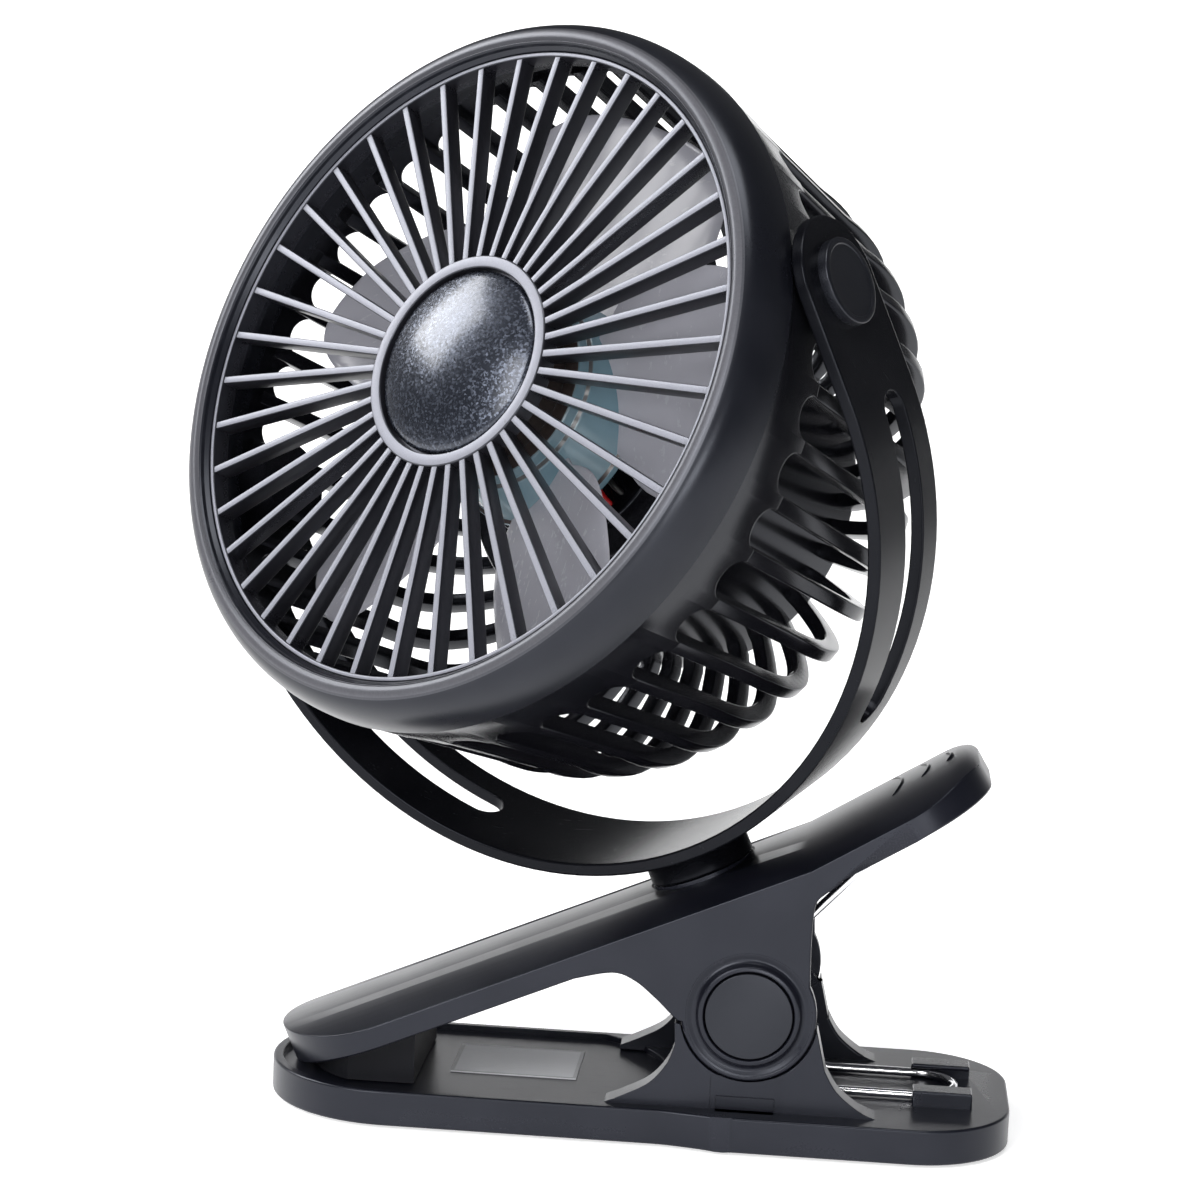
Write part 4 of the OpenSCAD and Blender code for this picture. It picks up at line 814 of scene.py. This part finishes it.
band_depth, band_wall, band_r, arch_steps = 9.7, 2, 70.2, 16
slot_r = (2 * pi * belly_r / rib_count - rib_w) / 2 + 0.35
slot_z = ring_back - band_depth - slot_r
columns = []
for i in range(rib_count):
    middle = radians(rib_phase + 9 * (i + 0.5))
    columns.append((middle - radians(4.5), slot_z))
    for k in range(arch_steps + 1):
        a = pi - pi * k / arch_steps
        columns.append((middle + slot_r * cos(a) / band_r, slot_z + slot_r * sin(a)))
points, faces = [], []
for angle, low in columns:
    wall = eased([(73.3, ring_back), (cage_at(low), low, 0.55), (cage_at(low) - band_wall, low, 0.55),
                  (71.3, ring_back)])
    points += [(r * cos(angle), r * sin(angle), z) for r, z in wall]
corners = len(wall)
for i in range(len(columns)):
    j = (i + 1) % len(columns)
    for k in range(corners):
        n = (k + 1) % corners
        faces.append([i * corners + k, i * corners + n, j * corners + n, j * corners + k])
pod_back = -67.5
pod = turned(eased([
    (14.3, -17), (25, -17, 0.5), (25, -28, 1.2), (pod_r, -28, 1.0), (pod_r, pod_back, 0.6),
    (34.4, pod_back, 0.3), (34.4, -29.6), (23, -29.6), (23, -19), (14.3, -19)]), 192)
boss = turned(eased([
    (0, 62), (9, 62), (9, 73.6, 0.4), (5, 73.6), (5, 75.9, 0.3), (0, 75.9)], closed=False), 96)
bosses = [placed(boss, Matrix.Rotation(radians(angle), 4, "Y") @ Matrix.Rotation(radians(90), 4, "Y"))
          for angle in (0, 180)]
cage_shell = formed("cage_shell", *joined([(points, faces), pod] + bosses), fan_place, cage_black)
show("rear_basket", merged(cage, cage_shell), "head", "cage_black", "rear_cage")
dress("tilt_screws", steel)
dress("tilt_washers", steel)


# ---- Rear cover and controls ------------------------------------------------------------
# The cover over the pod, with the power button in its middle, the charging inlet below
# and three small lamps above. Four screws with crossed recesses hold it.

show("pod_cover", softened("rear_cover", 0.4, shell_black), "head", "shell_black", "rear_cover")
recess_reach, recess_half, recess_mouth, recess_floor, screws_r = 1.25, 0.28, -68.0, -66.8, 29
arm_corners = [(recess_reach, recess_half), (recess_half, recess_half), (recess_half, recess_reach)]
plus = [(x * c - y * s, x * s + y * c) for c, s in ((1, 0), (0, 1), (-1, 0), (0, -1)) for x, y in arm_corners]
cross = ([(x, y, z) for z in (recess_mouth, recess_floor) for x, y in plus],
         [list(range(11, -1, -1)), list(range(12, 24))]
         + [[k, (k + 1) % 12, (k + 1) % 12 + 12, k + 12] for k in range(12)])
crosses = joined([placed(cross, Matrix.Rotation(radians(angle), 4, "Z")
                         @ Matrix.Translation((screws_r, 0, 0)) @ Matrix.Rotation(radians(20), 4, "Z"))
                  for angle in range(45, 360, 90)])
crossed = softened("cover_screws", 0.2, steel, carved=formed("crosses", *crosses, fan_place, steel))
show("crossed_screws", crossed, "head", "steel", "cover_screws")
socket_metal = skin("socket_metal", (0.5, 0.5, 0.52), 0.3, grain=0.0003, depth=0.004, metal=1.0, edge=0.1)
dress("charging_socket", socket_metal)
lens_clear = skin("lens_clear", (0.55, 0.66, 0.78), 0.12, grain=0.0008, depth=0.003, coat=0.5, edge=0.1)
dress("indicator_lenses", lens_clear)
show("power_button_cap", softened("power_button", 0.35, cap_black), "button", "cap_black", "power_button")


# ---- Rotor ------------------------------------------------------------------------------
# Five paddle blades on a deep hub, pressed on the motor's shaft. One polished moulding in
# pale grey with a violet cast; the hub between the blades is teal, with a dark front face.

blade_grey = skin("blade_grey", (0.32, 0.32, 0.36), 0.26, grain=0.001, depth=0.004, tint=(0.38, 0.38, 0.43),
                  haze=0.06, coat=0.3, edge=0.2)
hub_teal = skin("hub_teal", (0.13, 0.22, 0.27), 0.22, grain=0.001, depth=0.004, tint=(0.2, 0.3, 0.36),
                haze=0.05, coat=0.4, edge=0.3, face=(facing, (0.045, 0.034, 0.032), (0.07, 0.055, 0.052)))


def blade():
    """A paddle, thinned towards its edge, lying slanted across the hub."""
    inner, outer, half_w, pitch = 19.0, 61.5, 21.0, tan(radians(23))
    root, root_half, height, camber, half_thick = 19.8, 11, -3, 1.2, 0.8
    mid, reach = (outer + root) / 2, (outer - root) / 2
    rows, cols = 34, 24
    upper, lower = [], []
    for i in range(rows + 1):
        share = i / rows
        r = inner + (outer - inner) * sin(share * pi / 2)
        x = min(1, abs(r - mid) / reach)
        wide = half_w * (1 - x ** (2 / 0.72)) ** 0.36
        if r < mid:
            wide = max(wide, root_half + (half_w - 0.4 - root_half) * (r - root + 0.5) / (mid - root + 0.5))
        for k in range(cols + 1):
            v = -cos(pi * k / cols)
            y = wide * v
            z = height + y * pitch + camber * (1 - v * v) * (r - inner) / (outer - inner)
            thick = half_thick * (1 - abs(v) ** 6) ** 0.5 * (1 - share ** 14) ** 0.5
            upper.append((r, y, z + thick))
            lower.append((r, y, z - thick))
    points = upper + lower
    faces, n = [], cols + 1
    for i in range(rows):
        for k in range(cols):
            quad = [i * n + k, i * n + k + 1, (i + 1) * n + k + 1, (i + 1) * n + k]
            faces += [quad, [len(upper) + q for q in reversed(quad)]]
    faces.append([k for k in range(n)] + [len(upper) + k for k in reversed(range(n))])
    return points, faces


blades, given, finish = tree_of("Items round an axis", Count="Int", Phase="Float")
finish(round_the_axis(blades, given, given("Geometry")))
one_blade = formed("blade", *blade(), Matrix.Identity(4), blade_grey, 60)
rotor = grown(blades.tree, one_blade, {"Count": 5, "Phase": radians(132), "Material": blade_grey},
              "rotor", fan_place, 60)
hub = turned(eased([
    (0, 7.1), (3.4, 7.1, 0.4), (3.4, 5.2, 0.3), (16, 5.2, 0.5), (16, 7, 0.3), (19.8, 7, 0.7),
    (19.95, 4.6, 0.3), (21.1, 4.1, 0.6), (23.4, -7.2, 0.3), (24.4, -7.5, 0.2), (24.4, -9, 0.3), (21.6, -9),
    (18, 3.5), (0, 3.5)], closed=False), 192)
show("fan_rotor", rotor, "rotor", "blade_grey", "fan_blades")
show("rotor_hub", formed("rotor_hub", *hub, fan_place, hub_teal), "rotor", "blade_grey", "fan_blades")
dress("motor_shaft", steel)


# ---- Motor, mount and leads ---------------------------------------------------------------
# A small can motor in a black flanged sleeve. Its red and black leads run out over the
# housing's front and back through it to the board.

motor_can = skin("motor_can", (0.5, 0.5, 0.51), 0.32, grain=0.0004, depth=0.006, metal=1.0, edge=0.1)
dress("motor", motor_can)
dress("motor_mount", shell_black)
dress("motor_screws", steel)
dress("mount_screws", steel)
lead_red = skin("lead_red", (0.55, 0.012, 0.016), 0.4, grain=0.0008, depth=0.01)
lead_black = skin("lead_black", (0.012, 0.012, 0.012), 0.42, grain=0.0008, depth=0.01)
lead_r = 0.65
lead_run = [(14.85, 0, -14.4), (18.2, 0, -14.8), (20.4, 0, -15.4), (21.4, 0, -16.6), (21.6, 0, -18.4),
            (21.6, 0, -25), (21.6, 0, -42.6), (21.6, 0, -54.15)]
for node, name, colour, angle in (("lead_red", "red_lead", lead_red, -66),
                                  ("lead_black", "black_lead", lead_black, -57)):
    place = fan_place @ Matrix.Rotation(radians(angle), 4, "Z")
    tube = grown(wire.tree, path_mesh(name, lead_run), {"Radius": lead_r, "Sides": 12, "Material": colour},
                 name, place)
    show(name, tube, "head", node, node)


# ---- Cell, board and switch -----------------------------------------------------------------
# Inside the pod: one wrapped round cell across its width, the green board behind it and
# the push switch under the button. Seen only with the cover off.

cell_blue = skin("cell_blue", (0.02, 0.09, 0.22), 0.28, grain=0.002, depth=0.004, coat=0.4, edge=0.1)
dress("battery_cell", cell_blue)
board_green = skin("board_green", (0.012, 0.09, 0.04), 0.38, grain=0.0012, depth=0.01, edge=0.1)
dress("circuit_board", board_green)
dress("push_switch", cap_black)


# ---- Studio -----------------------------------------------------------------------------------
# A pale sweep under and behind the fan, soft lights above, before it and to the left, and
# the camera.

def sweep_floor():
    """A sheet that lies flat and then bends up behind the fan."""
    half_w, near, bend_y, bend_r, top = 8.0, -8.0, 0.9, 0.3, 0.38
    rows = [(near, 0.0), (bend_y, 0.0)]
    rows += [(bend_y + bend_r * sin(radians(a)), bend_r - bend_r * cos(radians(a)))
             for a in range(10, 91, 10)]
    rows.append((bend_y + bend_r, top))
    points = [(x, y, z - 0.00001) for y, z in rows for x in (-half_w, half_w)]
    faces = [[2 * i, 2 * i + 1, 2 * i + 3, 2 * i + 2] for i in range(len(rows) - 1)]
    mesh = bpy.data.meshes.new("floor")
    mesh.from_pydata(points, [], faces)
    mesh.shade_smooth()
    return mesh


def pale_paper():
    """White paper that glows under the fan and less to both sides."""
    material, mix, spot = new_finish("floor_paper")
    tone = mix.noise(spot, 0.5, 2.0)
    aside = mix.node("ShaderNodeMath", {"operation": "ABSOLUTE"}, {
        0: mix.node("ShaderNodeSeparateXYZ", None, {"Vector": spot}) + 0.08})
    pool = mix.band(aside, 0.45, 1.0, 1.0, 0.0)
    mix.surface({"Base Color": mix.blend(tone, (0.86, 0.86, 0.865, 1), (0.9, 0.9, 0.9, 1)),
                 "Roughness": 0.9, "Specular IOR Level": 0.1,
                 "Emission Color": mix.blend(pool, (0.12, 0.12, 0.12, 1), (1, 1, 1, 1)),
                 "Emission Strength": 0.6})
    return material


floor_mesh = sweep_floor()
floor_mesh.materials.append(pale_paper())
floor = bpy.data.objects.new("floor", floor_mesh)
scene.collection.objects.link(floor)

world = bpy.data.worlds.new("studio")
world.use_nodes = True
world.node_tree.nodes["Background"].inputs["Color"].default_value = (0.93, 0.95, 1.0, 1)
world.node_tree.nodes["Background"].inputs["Strength"].default_value = 0.1
scene.world = world


def softbox(name, place, aim, size, power):
    """A rectangular area light that looks at a point."""
    light = bpy.data.lights.new(name, "AREA")
    light.shape, light.size, light.size_y = "RECTANGLE", size[0], size[1]
    light.energy = power
    lamp = bpy.data.objects.new(name, light)
    look = (Vector(aim) - Vector(place)).to_track_quat("-Z", "Y")
    lamp.matrix_world = Matrix.Translation(place) @ look.to_matrix().to_4x4()
    scene.collection.objects.link(lamp)


softbox("key_left", (-1.26, 0.33, 1.03), (-0.02, 0, 0.14), (0.8, 0.75), 18)
softbox("top", (0.0, -0.3, 1.5), (0, 0, 0.1), (0.8, 0.6), 9)
softbox("front", (-0.75, -1.35, 0.85), (0, 0, 0.1), (0.9, 0.9), 20)
softbox("low_front", (0.3, -1.5, 0.3), (0, 0, 0.05), (0.7, 0.25), 7)

lens = bpy.data.cameras.new("camera")
lens.sensor_width = 36
lens.lens = 95.70
lens.clip_start, lens.clip_end = 0.01, 20
camera = bpy.data.objects.new("camera", lens)
back = Vector((0.079, -0.987, 0.142)).normalized()
right = Vector((0.995, 0.086, 0.043))
right = (right - right.dot(back) * back).normalized()
turn = Matrix((right, back.cross(right), back)).transposed()
camera.matrix_world = Matrix.Translation((0.0481, -0.6365, 0.1966)) @ turn.to_4x4()
scene.collection.objects.link(camera)
scene.camera = camera
scene.view_settings.view_transform = "Standard"
